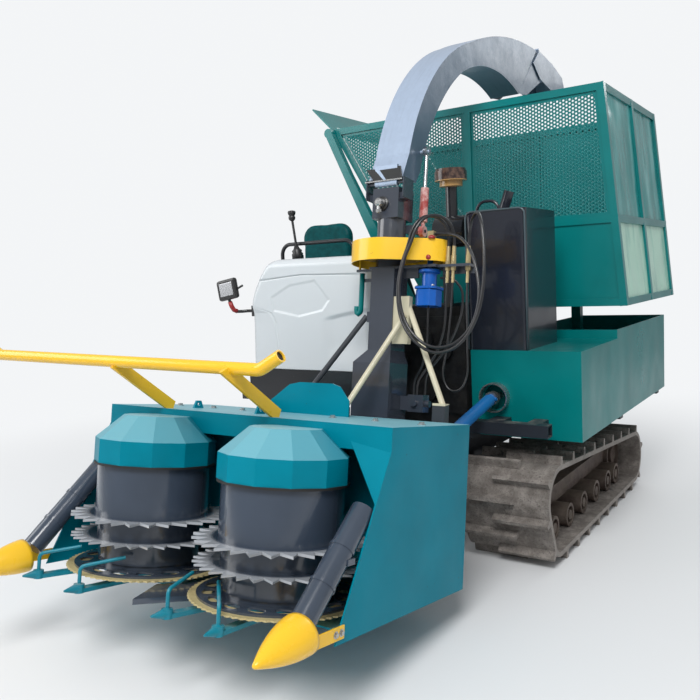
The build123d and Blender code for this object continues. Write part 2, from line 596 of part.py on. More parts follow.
# arm that carries the slewing motor and the couplings: x0, x1, u0, u1, w0, w1
HOLDER_X = 645
ARM = ((COL_X - 78, MOTOR_X + 60, COL_U - 60, COL_U + 60, ARM_W0, ARM_TOP),
       (COL_X + 60, MOTOR_X - 57, COL_U - 6, COL_U + 6, ARM_W0 - 40, ARM_W0),
       (COL_X - 182, MOTOR_X + 80, COL_U - 12, COL_U + 12, ARM_W0, ARM_TOP),
       (MOTOR_X + 60, HOLDER_X, 1048, 1104, ARM_W0, ARM_TOP),
       (MOTOR_X + 60, HOLDER_X, 1098, 1104, ARM_W0 - 26, ARM_W0))
arm_plate = union(*[box(*row) for row in ARM])
arm_plate = arm_plate - rod((MOTOR_X, COL_U, ARM_W0 - 10), (MOTOR_X, COL_U, ARM_TOP + 8), 20)
lug = box(138, COL_X - COL_S / 2, 1022, 1042, 1110, 1160)
# valve block beside the chopper housing, where the motor's hoses end
VALVE = (335, 415, 1100, 1160, 700, 780)
valve = box(*VALVE) + box(288, 337, 1112, 1150, 706, 772) + rod((415, 1130, 740), (436, 1130, 740), 16) + \
    rod((375, 1100, 740), (375, 1084, 740), 14)
column = base_box + taper(203, 165, COL_S) + shaft + arm_plate + lug + house + valve - duct
HOOK_X, HOOK_W = 68, 1352
HOOK = ((HOOK_X, COL_U, HOOK_W), (HOOK_X, COL_U, 1160), (HOOK_X - 24, COL_U, 1160),
        (HOOK_X - 24, COL_U, 1190))
hook = box(66, COL_X - COL_S / 2, COL_U - 8, COL_U + 8, 1310, 1326) + pipe(HOOK, 11, 6)
keep("column", column + hook, place=HEAD)
# stays: foot and head of each as x, u, w
STAY_R = 13
STAYS = (((340, 1030, 1140), (185, 800, 702)), ((345, 1050, 1190), (600, 940, 742)),
         ((131, 1032, 1140), (-120, 860, 702)))
stays = [rod(p, q, STAY_R) for p, q in STAYS]
feet = [box(165, 205, 780, 820, SIDE_TOP, 712), box(560, 620, 920, 960, 560, 750),
        box(-140, -100, 840, 880, SIDE_TOP, 712)]
gusset = plate_z([(278, 1030), (360, 1030), (360, 1060), (278, 1060)], 1010, 1230)
bracket = box(456, 620, SIDE_REAR, 960, 540, 600)
stay_r = stays[0] + stays[1] + feet[0] + feet[1] + gusset + bracket - column
keep("column_stays", stay_r, stays[2] + feet[2] - column, place=HEAD)
CHAIN_W = ARM_TOP + 48
SPROCKET_T = 12
SHAFT_TOP = CHAIN_W + 35
motor = Pos(MOTOR_X, COL_U, 1184) * Cylinder(44, 90, align=UPRIGHT) + \
    box(MOTOR_X - 56, MOTOR_X + 56, COL_U - 56, COL_U + 56, ARM_W0 - 90, ARM_W0) + \
    rod((MOTOR_X, COL_U, ARM_W0), (MOTOR_X, COL_U, SHAFT_TOP), 14)
motor = motor + Pos(MOTOR_X, COL_U, CHAIN_W) * Cylinder(44, SPROCKET_T, align=UPRIGHT)
keep("slew_motor", motor, place=HEAD)


def oval(r0, r1):
    """Outline round the column and the motor, like a belt over two wheels."""
    d = MOTOR_X - COL_X
    a = math.acos((r0 - r1) / d)
    c, s = math.cos(a), math.sin(a)
    p = [(COL_X + r0 * c, COL_U + r0 * s), (MOTOR_X + r1 * c, COL_U + r1 * s)]
    q = [(MOTOR_X + r1 * c, COL_U - r1 * s), (COL_X + r0 * c, COL_U - r0 * s)]
    return make_face(Wire([Line(*p), ThreePointArc(p[1], (MOTOR_X + r1, COL_U), q[0]), Line(*q),
                           ThreePointArc(q[1], (COL_X - r0, COL_U), p[0])]))


GUARD_GAP, GUARD_H, GUARD_T = 14, 100, 3
GUARD_R0, GUARD_R1, GUARD_WALL = 185, 87, 4
GUARD_W0 = ARM_TOP + GUARD_GAP
GUARD_W1 = GUARD_W0 + GUARD_H
guard = Pos(0, 0, GUARD_W0) * extrude(oval(GUARD_R0, GUARD_R1), GUARD_H)
guard = guard - Pos(0, 0, GUARD_W0 - 1) * extrude(oval(GUARD_R0 - GUARD_WALL, GUARD_R1 - GUARD_WALL),
                                                  GUARD_H - GUARD_T)
guard = guard - Pos(COL_X, COL_U, GUARD_W1) * Cylinder(74, 40)
for x in (MOTOR_X + 70, COL_X - 171):
    guard = guard + rod((x, COL_U, ARM_TOP), (x, COL_U, GUARD_W1 - GUARD_T), 6)
keep("chain_guard", guard, place=HEAD)
CHAIN_R0, CHAIN_R1, CHAIN_T = 157, 53, 8.7
chain = Pos(0, 0, CHAIN_W + 1) * extrude(oval(CHAIN_R0, CHAIN_R1), 10) - \
    Pos(0, 0, CHAIN_W) * extrude(oval(CHAIN_R0 - CHAIN_T, CHAIN_R1 - CHAIN_T), 12)
keep("slew_chain", chain, place=HEAD)

# hydraulic couplings on the arm's end plate: x, u, radius of the hose above, radius of the hose below
COUPLINGS = ((529, 1068, 7, 5.5), (557, 1068, 7, 4.5), (620, 1085, 7, 4.5))
UP_LEN, DOWN_LEN = 83, 70
HOSE_TOP, HOSE_LOW = ARM_TOP + UP_LEN, ARM_W0 - DOWN_LEN
NUT_R, SLEEVE_R = 12.5, 11
fittings = []
for x, u, r_up, r_down in COUPLINGS:
    nut = Pos(x, u, ARM_TOP) * extrude(RegularPolygon(NUT_R, 6), 16)
    fittings.append(nut + rod((x, u, ARM_TOP + 16), (x, u, ARM_TOP + 42), SLEEVE_R) +
                    rod((x, u, ARM_TOP + 42), (x, u, HOSE_TOP), r_up + 2))
    nut = Pos(x, u, ARM_W0 - 14) * extrude(RegularPolygon(NUT_R, 6), 14)
    fittings.append(nut + rod((x, u, HOSE_LOW), (x, u, ARM_W0 - 14), r_down + 2.5))
# clamp on the guard's top, where the front hose of the loop begins
CLAMP_X, CLAMP_U, CLAMP_W = 475, 1032, GUARD_W1 + 22
fittings.append(box(CLAMP_X - 30, CLAMP_X, CLAMP_U - 14, CLAMP_U + 14, GUARD_W1, CLAMP_W + 14))
keep("hose_couplings", *fittings, place=HEAD)

HOSE_ARC = 0.45


def hose(name, points, diameter):
    """A hose of straight runs and tangent arcs, each arc as large as its two runs allow."""
    at = [Vector(*p) for p in points]
    radii = []
    for a, b, c in zip(at, at[1:], at[2:]):
        turn = math.radians((b - a).get_angle(c - b))
        radii.append(HOSE_ARC * min((b - a).length, (c - b).length) / math.tan(turn / 2))
    wire = FilletPolyline(*at, radius=radii)
    tube = sweep(Plane(origin=wire @ 0, z_dir=wire % 0) * Circle(diameter / 2), path=wire)
    share = tube.volume / (math.pi * diameter ** 2 / 4 * wire.length)
    print(name, "radii", [round(r) for r in radii], "length", round(wire.length), "volume share",
          round(share, 4))
    return tube


# routes as x, u, w in the header's frame; the two high loops hang free from the clamp and the couplings
LOOP_FRONT = ((475, 1032, 1508), (545, 1032, 1508), (622, 1010, 1478), (686, 980, 1404), (728, 962, 1302),
              (744, 952, 1186), (718, 945, 1078), (640, 938, 998), (534, 930, 984), (442, 922, 1044),
              (386, 916, 1140),
              (368, 914, 1256), (384, 918, 1376), (420, 924, 1462), (436, 930, 1530), (471, 969, 1584),
              (521, 1026, 1584), (557, 1068, 1530), (557, 1068, 1455))
LOOP_REAR = ((620, 1085, 1455), (620, 1085, 1530), (656, 1044, 1584), (702, 991, 1584), (738, 950, 1530),
             (760, 938, 1428), (770, 930, 1310), (766, 926, 1190), (734, 924, 1076), (660, 926, 986),
             (548, 932, 958),
             (440, 938, 1016), (368, 942, 1110), (344, 942, 1232), (358, 940, 1356), (396, 936, 1448),
             (412, 936, 1530), (447, 974, 1584), (496, 1030, 1584), (529, 1068, 1530), (529, 1068, 1455))
DROP = ((620, 1085, 1290), (620, 1085, 1200), (630, 1085, 1080), (636, 1084, 962), (644, 1084, 880),
        (612, 1084, 806), (548, 1082, 806), (516, 1080, 880), (534, 1078, 962), (546, 1074, 1080),
        (557, 1068, 1200),
        (557, 1068, 1290))
MOTOR_HOSES = (((486, 1085, 1316), (546, 1085, 1316), (592, 1104, 1262), (588, 1116, 1162), (546, 1128, 1056),
                (478, 1140, 960), (400, 1146, 880), (400, 1146, 780)),
               ((430, 1085, 1184), (430, 1085, 1110), (424, 1100, 1010), (396, 1116, 910), (352, 1124, 846),
                (352, 1124, 780)),
               ((529, 1068, 1290), (529, 1068, 1200), (516, 1092, 1090), (474, 1112, 980), (414, 1122, 900),
                (376, 1112, 840), (376, 1112, 780)))
LOOP_D, DROP_D, MOTOR_HOSE_D = 14, 9, 11
keep("hose_loop_front", hose("hose_loop_front", LOOP_FRONT, LOOP_D), place=HEAD)
keep("hose_loop_rear", hose("hose_loop_rear", LOOP_REAR, LOOP_D), place=HEAD)
keep("hose_drop", hose("hose_drop", DROP, DROP_D), place=HEAD)
keep("motor_hoses", *[hose("motor_hoses", points, MOTOR_HOSE_D) for points in MOTOR_HOSES], place=HEAD)

# turning tube with its sprocket and the box that carries the spout
BOX_S = 140
TURN_W0, BOX_W0, BOX_W1 = ARM_TOP + GAP, ARM_TOP + 228, ARM_TOP + 372
turn = Pos(COL_X, COL_U, TURN_W0) * Cylinder(68, BOX_W0 + 4 - TURN_W0, align=UPRIGHT)
turn = turn + Pos(COL_X, COL_U, CHAIN_W) * Cylinder(148, SPROCKET_T, align=UPRIGHT)
turn = turn + square(BOX_S / 2, BOX_W0, BOX_W1)
turn = turn - Pos(COL_X, COL_U, ARM_TOP - 1) * Cylinder(60, 400, align=UPRIGHT)
EYE_X, EYE_U, EYE_W = COL_X + 115, COL_U + 95, 1560
turn = turn + box(COL_X + 60, EYE_X - 14, COL_U + 30, COL_U + 66, EYE_W - 20, EYE_W + 20) + \
    box(EYE_X - 22, EYE_X - 12, COL_U + 30, EYE_U + 20, EYE_W - 20, EYE_W + 20) + \
    rod((EYE_X - 22, EYE_U, EYE_W), (EYE_X + 16, EYE_U, EYE_W), 8)
for s in (-1, 1):
    turn = turn + box(COL_X + s * 97, COL_X + s * 103, SPOUT_PIN_U - 20, SPOUT_PIN_U + 70, 1690,
                      SPOUT_PIN_W + 20) + \
        box(COL_X + s * 68, COL_X + s * 103, SPOUT_PIN_U + 10, SPOUT_PIN_U + 70, 1690, 1720)
turn = turn + rod((COL_X - 105, SPOUT_PIN_U, SPOUT_PIN_W), (COL_X + 105, SPOUT_PIN_U, SPOUT_PIN_W), 8)
keep("turning_tube", turn, place=HEAD)

# spout, drawn in the machine's frame; (y, z) pairs
def from_head(u, w):
    t = math.radians(PITCH)
    return (HEAD_Y + u * math.cos(t) + w * math.sin(t), HEAD_Z - u * math.sin(t) + w * math.cos(t))


def circle3(a, b, c):
    ax, ay, bx, by, cx, cy = *a, *b, *c
    d = 2 * (ax * (by - cy) + bx * (cy - ay) + cx * (ay - by))
    ux = ((ax**2 + ay**2) * (by - cy) + (bx**2 + by**2) * (cy - ay) + (cx**2 + cy**2) * (ay - by)) / d
    uy = ((ax**2 + ay**2) * (cx - bx) + (bx**2 + by**2) * (ax - cx) + (cx**2 + cy**2) * (bx - ax)) / d
    return ux, uy, math.hypot(ax - ux, ay - uy)


def moved_arc(a, b, c, by):
    cx, cy, r = circle3(a, b, c)
    return [(cx + (p[0] - cx) * (r + by) / r, cy + (p[1] - cy) * (r + by) / r) for p in (a, b, c)]


FRONT0, REAR0 = from_head(1024, 1790), from_head(1150, 1790)
OUTER1 = ((-224, 2000), (10, 2360), (500, 2664))
OUTER2 = ((500, 2664), (1000, 2804), (1520, 2833))
INNER1 = ((-125, 1921), (60, 2215), (400, 2492))
INNER2 = ((400, 2492), (700, 2575), (1190, 2505))


def duct_face(t, grow):
    o1, o2 = moved_arc(*OUTER1, -t), moved_arc(*OUTER2, -t)
    i1, i2 = moved_arc(*INNER1, t), moved_arc(*INNER2, t)
    f0 = (FRONT0[0] + t, FRONT0[1] - grow)
    r0 = (REAR0[0] - t, REAR0[1] - grow)
    o2[0] = o1[2]
    i2[0] = i1[2]
    end_o = (o2[2][0] + grow, o2[2][1])
    end_i = (i2[2][0] + grow, i2[2][1])
    edges = [Line(f0, o1[0]), ThreePointArc(*o1), ThreePointArc(*o2)]
    if grow:
        edges += [Line(o2[2], end_o), Line(end_o, end_i), Line(end_i, i2[2])]
    else:
        edges += [Line(o2[2], i2[2])]
    edges += [ThreePointArc(i2[2], i2[1], i2[0]), ThreePointArc(i1[2], i1[1], i1[0]), Line(i1[0], r0),
              Line(r0, f0)]
    return make_face(Wire(edges))


spout = Pos(SPOUT_X0, 0, 0) * extrude(YZ * duct_face(0, 0), SPOUT_X1 - SPOUT_X0) - \
    Pos(SPOUT_X0 + SHEET, 0, 0) * extrude(YZ * duct_face(SHEET, 8), SPOUT_X1 - SPOUT_X0 - 2 * SHEET)
pin = from_head(SPOUT_PIN_U, SPOUT_PIN_W)
EYE2 = from_head(1186, 1950)
spout = spout + rod((SPOUT_X1, EYE2[0], EYE2[1]), (EYE_X + 16, EYE2[0], EYE2[1]), 8)
knuckle = rod((COL_X - 60, pin[0], pin[1]), (COL_X + 60, pin[0], pin[1]), 15, 8.05)
STRAP = ((pin[0] - 13, pin[1]), (pin[0] + 13, pin[1] + 2), (FRONT0[0] + 6, FRONT0[1] + 60),
         (FRONT0[0] - 6, FRONT0[1] + 60))
strap = plate_x(STRAP, COL_X - 60, COL_X + 60)
strap = strap - rod((COL_X - 60, pin[0], pin[1]), (COL_X + 60, pin[0], pin[1]), 12)
# flap's hinge, behind and above the end of the spout's roof
END_Y, END_Z = OUTER2[2]
FLAP_Y, FLAP_Z = END_Y + 20, END_Z + 11
FLAP_LUGS = (145, 264)
LUG_LINE = ((END_Y - 30, END_Z - 4.5), (END_Y - 30, END_Z + 3), (END_Y + 14, END_Z + 21),
            (END_Y + 26, END_Z + 1),
            (END_Y - 1, END_Z - 4))
lugs = union(*[plate_x(LUG_LINE, x - 5, x + 5) + rod((x - 5, FLAP_Y, FLAP_Z), (x + 5, FLAP_Y, FLAP_Z), 11)
               for x in FLAP_LUGS])
lugs = lugs - rod((SPOUT_X0, FLAP_Y, FLAP_Z), (SPOUT_X1, FLAP_Y, FLAP_Z), 7.05)
keep("spout", spout + knuckle + strap + lugs)
FLAP_SIDE = 9
fx0, fx1 = SPOUT_X0 - FLAP_SIDE, SPOUT_X1 + FLAP_SIDE
# flap's roof and cheeks, as distances from its hinge
ROOF = ((5, -8), (260, -42), (460, -97), (520, -192), (514, -194), (456, -102), (258, -48), (5, -14))
CHEEK = ((5, -14), (258, -48), (456, -102), (514, -194), (360, -244), (20, -184), (-100, -104))
flap = plate_x([(FLAP_Y + y, FLAP_Z + z) for y, z in ROOF], fx0, fx1)
cheek = [(FLAP_Y + y, FLAP_Z + z) for y, z in CHEEK]
flap = flap + plate_x(cheek, fx0, fx0 + SHEET) + plate_x(cheek, fx1 - SHEET, fx1)
flap = flap + box(fx0, fx1, FLAP_Y + 5, FLAP_Y + 12, FLAP_Z - 12, FLAP_Z)
for x in FLAP_LUGS:
    flap = flap - box(x - 7, x + 7, FLAP_Y - 20, FLAP_Y + 17, FLAP_Z - 24, FLAP_Z + 26)
flap = flap + rod((fx0, FLAP_Y, FLAP_Z), (fx1, FLAP_Y, FLAP_Z), 7)
keep("spout_flap", flap)


# bin: tube frame, sheet panels, mesh panels and a flared lip over the tipping side
def wall_x(z, right):
    share = (z - BIN_Z0) / (BIN_Z1 - BIN_Z0)
    return BIN_RX0 + (BIN_RX1 - BIN_RX0) * share if right else BIN_LX0 + (BIN_LX1 - BIN_LX0) * share


H = TUBE / 2
MID_POST = (110, 150)
frame = []
for y in (BIN_Y0 + H, BIN_Y1 - H):
    frame.append(bar((wall_x(BIN_Z0, True) - H, y, BIN_Z0), (wall_x(BIN_Z1, True) - H, y, BIN_Z1), TUBE,
                     TUBE))
    frame.append(bar((wall_x(BIN_Z0, False) + H, y, BIN_Z0), (wall_x(BIN_Z1, False) + H, y, BIN_Z1), TUBE,
                     TUBE))
    frame.append(box(BIN_LX1, BIN_RX1, y - H, y + H, BIN_Z1 - TUBE, BIN_Z1))
    frame.append(box(wall_x(BIN_Z0, False), BIN_RX0 - 4, y - H, y + H, BIN_Z0, BIN_Z0 + TUBE))
    frame.append(box(wall_x(BIN_ZM, False) + 10, wall_x(BIN_ZM, True) - 10, y - H, y + H,
                     BIN_ZM - H, BIN_ZM + H))
    frame.append(box(*MID_POST, y - H, y + H, BIN_Z0 + TUBE, BIN_Z1 - TUBE))
mid_y = (BIN_Y0 + BIN_Y1) / 2
frame.append(bar((wall_x(BIN_Z0, True) - H, mid_y, BIN_Z0), (wall_x(BIN_Z1, True) - H, mid_y, BIN_Z1), TUBE,
                 TUBE))
# tubes along the right wall: lower edge, height on the wall, distance inside it
for z, at, off in ((BIN_Z0, BIN_Z0, 4), (BIN_ZM - H, BIN_ZM, 0), (BIN_Z1 - TUBE, BIN_Z1, 0)):
    x = wall_x(at, True) - off
    frame.append(box(x - TUBE, x, BIN_Y0, BIN_Y1, z, z + TUBE))
frame.append(box(BIN_LX1, BIN_LX1 + TUBE, BIN_Y0, BIN_Y1, BIN_Z1 - TUBE, BIN_Z1))
frame.append(box(BIN_LX0 + 6, BIN_LX0 + 46, BIN_Y0, BIN_Y1, BIN_Z0, BIN_Z0 + TUBE))
for y in (BIN_Y0 + 20, BIN_Y1 - 20):
    frame.append(rod((BIN_PIN_X, y - 20, BIN_PIN_Z), (BIN_PIN_X, y + 20, BIN_PIN_Z), 30))
lip = plate_y([(BIN_LX1, BIN_Z1 - 6), (BIN_LX1 + 8, BIN_Z1), (-987, 2556), (-993, 2550)], BIN_Y0, BIN_Y1)
bin_frame = union(*frame, lip)
bin_frame = bin_frame - rod((BIN_PIN_X, BIN_Y0 - 5, BIN_PIN_Z), (BIN_PIN_X, BIN_Y1 + 5, BIN_PIN_Z), 15.05)
floor_sheet = box(wall_x(BIN_Z0, False) + 46, BIN_RX0 - TUBE - 4, BIN_Y0 + TUBE, BIN_Y1 - TUBE, BIN_Z0,
                  BIN_Z0 + SHEET)


def slant(z0, z1, right, y0, y1, t=SHEET, off=0.0):
    k = -1 if right else 1
    p = [(wall_x(z0, right) + k * off, z0), (wall_x(z1, right) + k * off, z1),
         (wall_x(z1, right) + k * (off + t), z1), (wall_x(z0, right) + k * (off + t), z0)]
    return plate_y(p, y0, y1)



def end_sheet(z0, z1, y):
    """A sheet of a bin end between two heights, left and right of the middle post."""
    whole = plate_y([(wall_x(z0, False) + TUBE + 8, z0), (wall_x(z0, True) - TUBE, z0),
                     (wall_x(z1, True) - TUBE, z1), (wall_x(z1, False) + TUBE + 8, z1)], y, y + SHEET)
    return whole - box(*MID_POST, y - 10, y + 10, BIN_Z0, BIN_Z1)


END_YS = (BIN_Y0 + 10, BIN_Y1 - 10 - SHEET)
ends_low = [end_sheet(BIN_Z0 + TUBE, BIN_ZM - H, y) for y in END_YS]
ends_high = [end_sheet(BIN_ZM + H, BIN_Z1 - TUBE, y) for y in END_YS]
left_wall = slant(BIN_Z0 + TUBE, BIN_Z1 - TUBE, False, BIN_Y0 + TUBE, BIN_Y1 - TUBE, off=16)
keep("bin_sheets", *[e - bin_frame for e in ends_low], left_wall - bin_frame, floor_sheet - bin_frame)
keep("bin_mesh", *[e - bin_frame for e in ends_high])
right_sheets = []
for y0, y1 in ((BIN_Y0 + TUBE, mid_y - H), (mid_y + H, BIN_Y1 - TUBE)):
    right_sheets.append(slant(BIN_Z0 + TUBE, BIN_ZM - H, True, y0, y1, off=14))
    right_sheets.append(slant(BIN_ZM + H, BIN_Z1 - TUBE, True, y0, y1, off=14))
keep("bin_side_sheets", *[e - bin_frame for e in right_sheets])

# stand that carries the bin's pivot
STAND_T = 44
stand = []
for y in (BIN_Y0 - 6 - STAND_T / 2, BIN_Y1 + 6 + STAND_T / 2):
    stand.append(bar((BIN_PIN_X, y, BIN_PIN_Z), (-250, y, RIM_Z + 20), 50, STAND_T))
    stand.append(bar((-760, y, 2200), (-190, y, RIM_Z + 20), 40, STAND_T))
    stand.append(box(-420, -150, y - STAND_T / 2, y + STAND_T / 2, RAIL_Z1, RIM_Z + 24))
    stand.append(rod((BIN_PIN_X, y - STAND_T / 2, BIN_PIN_Z), (BIN_PIN_X, y + STAND_T / 2, BIN_PIN_Z), 30))
stand[2] = box(-372, -150, BIN_Y0 - 6 - STAND_T, BIN_Y0 - 6, RAIL_Z1, RIM_Z + 24)
stand[6] = box(-372, -150, BIN_Y1 + 6, BIN_Y1 + 6 + STAND_T, RAIL_Z0, RIM_Z + 24)
pins = [rod((BIN_PIN_X, BIN_Y0 - 6, BIN_PIN_Z), (BIN_PIN_X, BIN_Y0 + 44, BIN_PIN_Z), 15),
        rod((BIN_PIN_X, BIN_Y1 - 44, BIN_PIN_Z), (BIN_PIN_X, BIN_Y1 + 6, BIN_PIN_Z), 15)]
back_link = box(-372, -300, RAIL_Y1, BIN_Y1 + 6 + STAND_T, RAIL_Z0, RAIL_Z1)
POST_S = 60
posts = [box(BODY_X0 + WALL + 1, BODY_X0 + WALL + 1 + POST_S, y, y + POST_S, BODY_Z0 + WALL, BIN_Z0 - 1)
         for y in (900, 1700)]
keep("bin_stand", union(*stand[:4], pins[0]), union(*stand[4:], pins[1], back_link), *posts)

# cylinders: lift (two), tip (two), spout (one); barrel and rod apart
ROD_START = 80


def cylinder_pair(base, eye, barrel_r, rod_r, barrel_len, base_pin, eye_hole, half, rod_start=ROD_START):
    """Barrel with its base eye, rod with its end eye, on a line from base to eye."""
    b, e = Vector(*base), Vector(*eye)
    d = (e - b).normalized()
    side = Vector(*half)
    bw = side.length
    barrel = rod(tuple(b + d * 46), tuple(b + d * barrel_len), barrel_r, rod_r + 0.4)
    plug = rod(tuple(b + d * 46), tuple(b + d * 60), barrel_r)
    neck_r = min(18, bw - 2)
    b_eye = rod(tuple(b - side), tuple(b + side), 26) + rod(tuple(b), tuple(b + d * 48), neck_r)
    barrel = barrel + plug + b_eye - rod(tuple(b - side * 1.1), tuple(b + side * 1.1), base_pin + 0.05)
    shaft_ = rod(tuple(b + d * rod_start), tuple(e - d * 16), rod_r)
    e_eye = rod(tuple(e - side), tuple(e + side), 24)
    shaft_ = shaft_ + e_eye
    if eye_hole:
        shaft_ = shaft_ - rod(tuple(e - side * 1.1), tuple(e + side * 1.1), eye_hole)
    return barrel, shaft_


# room at a rod's eye for the drift of its opened linkage
EYE_SLACK = 1.1
lift_b, lift_r = [], []
LIFT_EYE = (-400, 270)
LIFT_ROD_START = 102
for s in (-1, 1):
    b, r = cylinder_pair((s * LIFT_X, CYL_Y, CYL_Z), (s * LIFT_X, *LIFT_EYE), 32, 16, 340, 12, 12 + EYE_SLACK,
                         (19, 0, 0), LIFT_ROD_START)
    lift_b.append(b)
    lift_r.append(r)
keep("lift_barrels", *lift_b)
keep("lift_rods", *lift_r)
TIP_BASE, TIP_EYE = (-430, 1150), (-790, 2200)
TIP_YS = (1100, 1700)
tip_b, tip_r = [], []
for y in TIP_YS:
    b, r = cylinder_pair((TIP_BASE[0], y, TIP_BASE[1]), (TIP_EYE[0], y, TIP_EYE[1]), 36, 20, 860, 14, 0,
                         (0, 24, 0))
    tip_b.append(b)
    tip_r.append(r)
keep("tip_barrels", *tip_b)
keep("tip_rods", *tip_r)
clevis = []
for y in TIP_YS:
    for off in (-44, 30):
        cheek = plate_y([(-480, RIM_Z - 40), (-BODY_X0, RIM_Z - 40), (-BODY_X0 + 30, TIP_BASE[1] + 24),
                         (-460, TIP_BASE[1] + 24)], y + off, y + off + 14)
        clevis.append(cheek - box(-BODY_X1, -BODY_X0, LEFT_Y0, BODY_Y1, 900, RIM_Z))
    clevis.append(rod((TIP_BASE[0], y - 44, TIP_BASE[1]), (TIP_BASE[0], y + 44, TIP_BASE[1]), 14))
base_plates = [box(-470, -400, y - 44, y + 44, RIM_Z, RIM_Z + 12) for y in TIP_YS]
keep("side_bodies", tank, deck_sheet, *right_bay, *left_bay, *union(*clevis, *base_plates).solids())
EAR_Z0, EAR_Z1 = 2120, 2260
ears_bin = []
for y in TIP_YS:
    e = []
    for off in (-44, 30):
        e.append(plate_y([(TIP_EYE[0] - 22, TIP_EYE[1] - 20), (TIP_EYE[0] + 24, TIP_EYE[1] - 60),
                          (wall_x(EAR_Z0, False) + 16, EAR_Z0), (wall_x(EAR_Z1, False) + 16, EAR_Z1),
                          (TIP_EYE[0] - 22, TIP_EYE[1] + 20)], y + off, y + off + 14))
    for end in (-52, 44):
        e.append(rod((TIP_EYE[0], y + end, TIP_EYE[1]), (TIP_EYE[0], y + end + 8, TIP_EYE[1]), 14))
    ears_bin += e
pads = []
for y in TIP_YS:
    za, zb = EAR_Z0 - 30, EAR_Z1 + 20
    pads.append(plate_y([(wall_x(za, False) + 15.7, za), (wall_x(za, False) + 8, za),
                         (wall_x(zb, False) + 8, zb),
                         (wall_x(zb, False) + 15.7, zb)], y - 60, y + 60))
keep("bin_frame", bin_frame, *[union(*ears_bin[4 * k:4 * k + 4], pads[k]) for k in (0, 1)])
b, r = cylinder_pair((EYE_X, *from_head(EYE_U, EYE_W)), (EYE_X, *EYE2), 20, 9, 210, 8, 8 + EYE_SLACK,
                     (11, 0, 0))
keep("spout_barrel", b)
keep("spout_rod", r)

# lift arms between chassis and header
arm_list = []
for s in (-1, 1):
    a = plate_x([(LIFT_Y + 34, LIFT_Z - 30), (LIFT_Y + 34, LIFT_Z + 34), (LIFT_Y - 30, LIFT_Z + 40),
                 (-712, 420),
                 (-722, 240), (-440, 244), (-380, 244), (-360, 300)], s * LIFT_X - ARM_T / 2,
                 s * LIFT_X + ARM_T / 2)
    a = a - plate_x([(-340, 200), (-340, 318), (-440, 300), (-440, 200)], s * LIFT_X - 20.5,
                    s * LIFT_X + 20.5)
    a = a + rod((s * LIFT_X - 40, *LIFT_EYE), (s * LIFT_X + 40, *LIFT_EYE), 12)
    for off in (-40, 28):
        a = a + plate_x([(-430, 246), (-370, 246), (-360, 360), (-440, 360)], s * LIFT_X + off,
                        s * LIFT_X + off + 12)
    a = a + plate_x([(-440, 330), (-360, 350), (-360, 380), (-440, 360)], s * LIFT_X - 40, s * LIFT_X + 40)
    a = a - rod((s * LIFT_X - 30, LIFT_Y, LIFT_Z), (s * LIFT_X + 30, LIFT_Y, LIFT_Z), 15.05)
    arm_list.append(a)
cut = HEAD * box(-HALF, HALF, 0, SIDE_REAR, -50, 900)
keep("lift_arms", *[a - cut for a in arm_list])

# drive shaft between the body and the header
PTO_END_X, PTO_END_U, PTO_END_W = 500, 967, 498
PTO_B = (PTO_END_X, *from_head(PTO_END_U, PTO_END_W))
A, B = Vector(PTO_X, PTO_Y, PTO_Z), Vector(*PTO_B)
d = (B - A).normalized()
L = (B - A).length
# room at the header's joint for the drift of the opened linkage
BALL_R, BALL_SLACK = 24, 5.2
CUP_R = 33
tube_out = rod(tuple(A + d * 16), tuple(A + d * (L * 0.62)), 30,
               20.4) + Solid.make_sphere(BALL_R).moved(Location(A))
tube_out = tube_out + rod(tuple(A + d * 16), tuple(A + d * 40), 30)
tube_out = tube_out + rod((PTO_X - CROSS_HALF, PTO_Y, PTO_Z), (PTO_X + CROSS_HALF, PTO_Y, PTO_Z), CROSS_R)
keep("drive_shaft_tube", tube_out)
tube_in = rod(tuple(A + d * (L * 0.3)), tuple(B - d * 28), 20)
tube_in = tube_in + rod(tuple(B - d * 60), tuple(B - d * 4), CUP_R)
tube_in = tube_in - Solid.make_sphere(BALL_R - 3 + BALL_SLACK).moved(Location(B))
keep("drive_shaft_rod", tube_in)
gearbox = box(PTO_END_X - 60, PTO_END_X + 60, SIDE_REAR, 936, 414, 539.7) + \
    rod((PTO_END_X, 936, PTO_END_W), (PTO_END_X, PTO_END_U, PTO_END_W), 13) + \
    Pos(PTO_END_X, PTO_END_U, PTO_END_W) * Sphere(BALL_R - 3)
keep("gearboxes", bed[0] + bed[1], bed[2] + bed[3], gearbox, place=HEAD)

for name, solids in PIECES.items():
    shape = solids[0] if len(solids) == 1 else Compound(children=solids)
    shape.label = name
    export_step(shape, f"parts/{name}.step")
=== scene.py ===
import math

import bmesh
import bpy
from mathutils import Matrix, Vector


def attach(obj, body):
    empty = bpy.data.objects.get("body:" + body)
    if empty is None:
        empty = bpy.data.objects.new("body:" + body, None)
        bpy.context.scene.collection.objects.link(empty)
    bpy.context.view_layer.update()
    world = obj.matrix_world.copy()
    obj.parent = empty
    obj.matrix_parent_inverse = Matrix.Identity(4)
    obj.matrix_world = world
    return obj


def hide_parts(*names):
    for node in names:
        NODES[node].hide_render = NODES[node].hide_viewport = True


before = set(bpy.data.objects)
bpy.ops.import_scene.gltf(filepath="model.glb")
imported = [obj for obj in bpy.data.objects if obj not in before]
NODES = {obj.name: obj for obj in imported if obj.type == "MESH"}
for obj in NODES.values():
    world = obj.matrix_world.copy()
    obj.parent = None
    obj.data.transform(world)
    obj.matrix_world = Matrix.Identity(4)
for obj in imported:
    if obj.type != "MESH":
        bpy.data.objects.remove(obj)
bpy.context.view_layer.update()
SCENE = bpy.context.scene


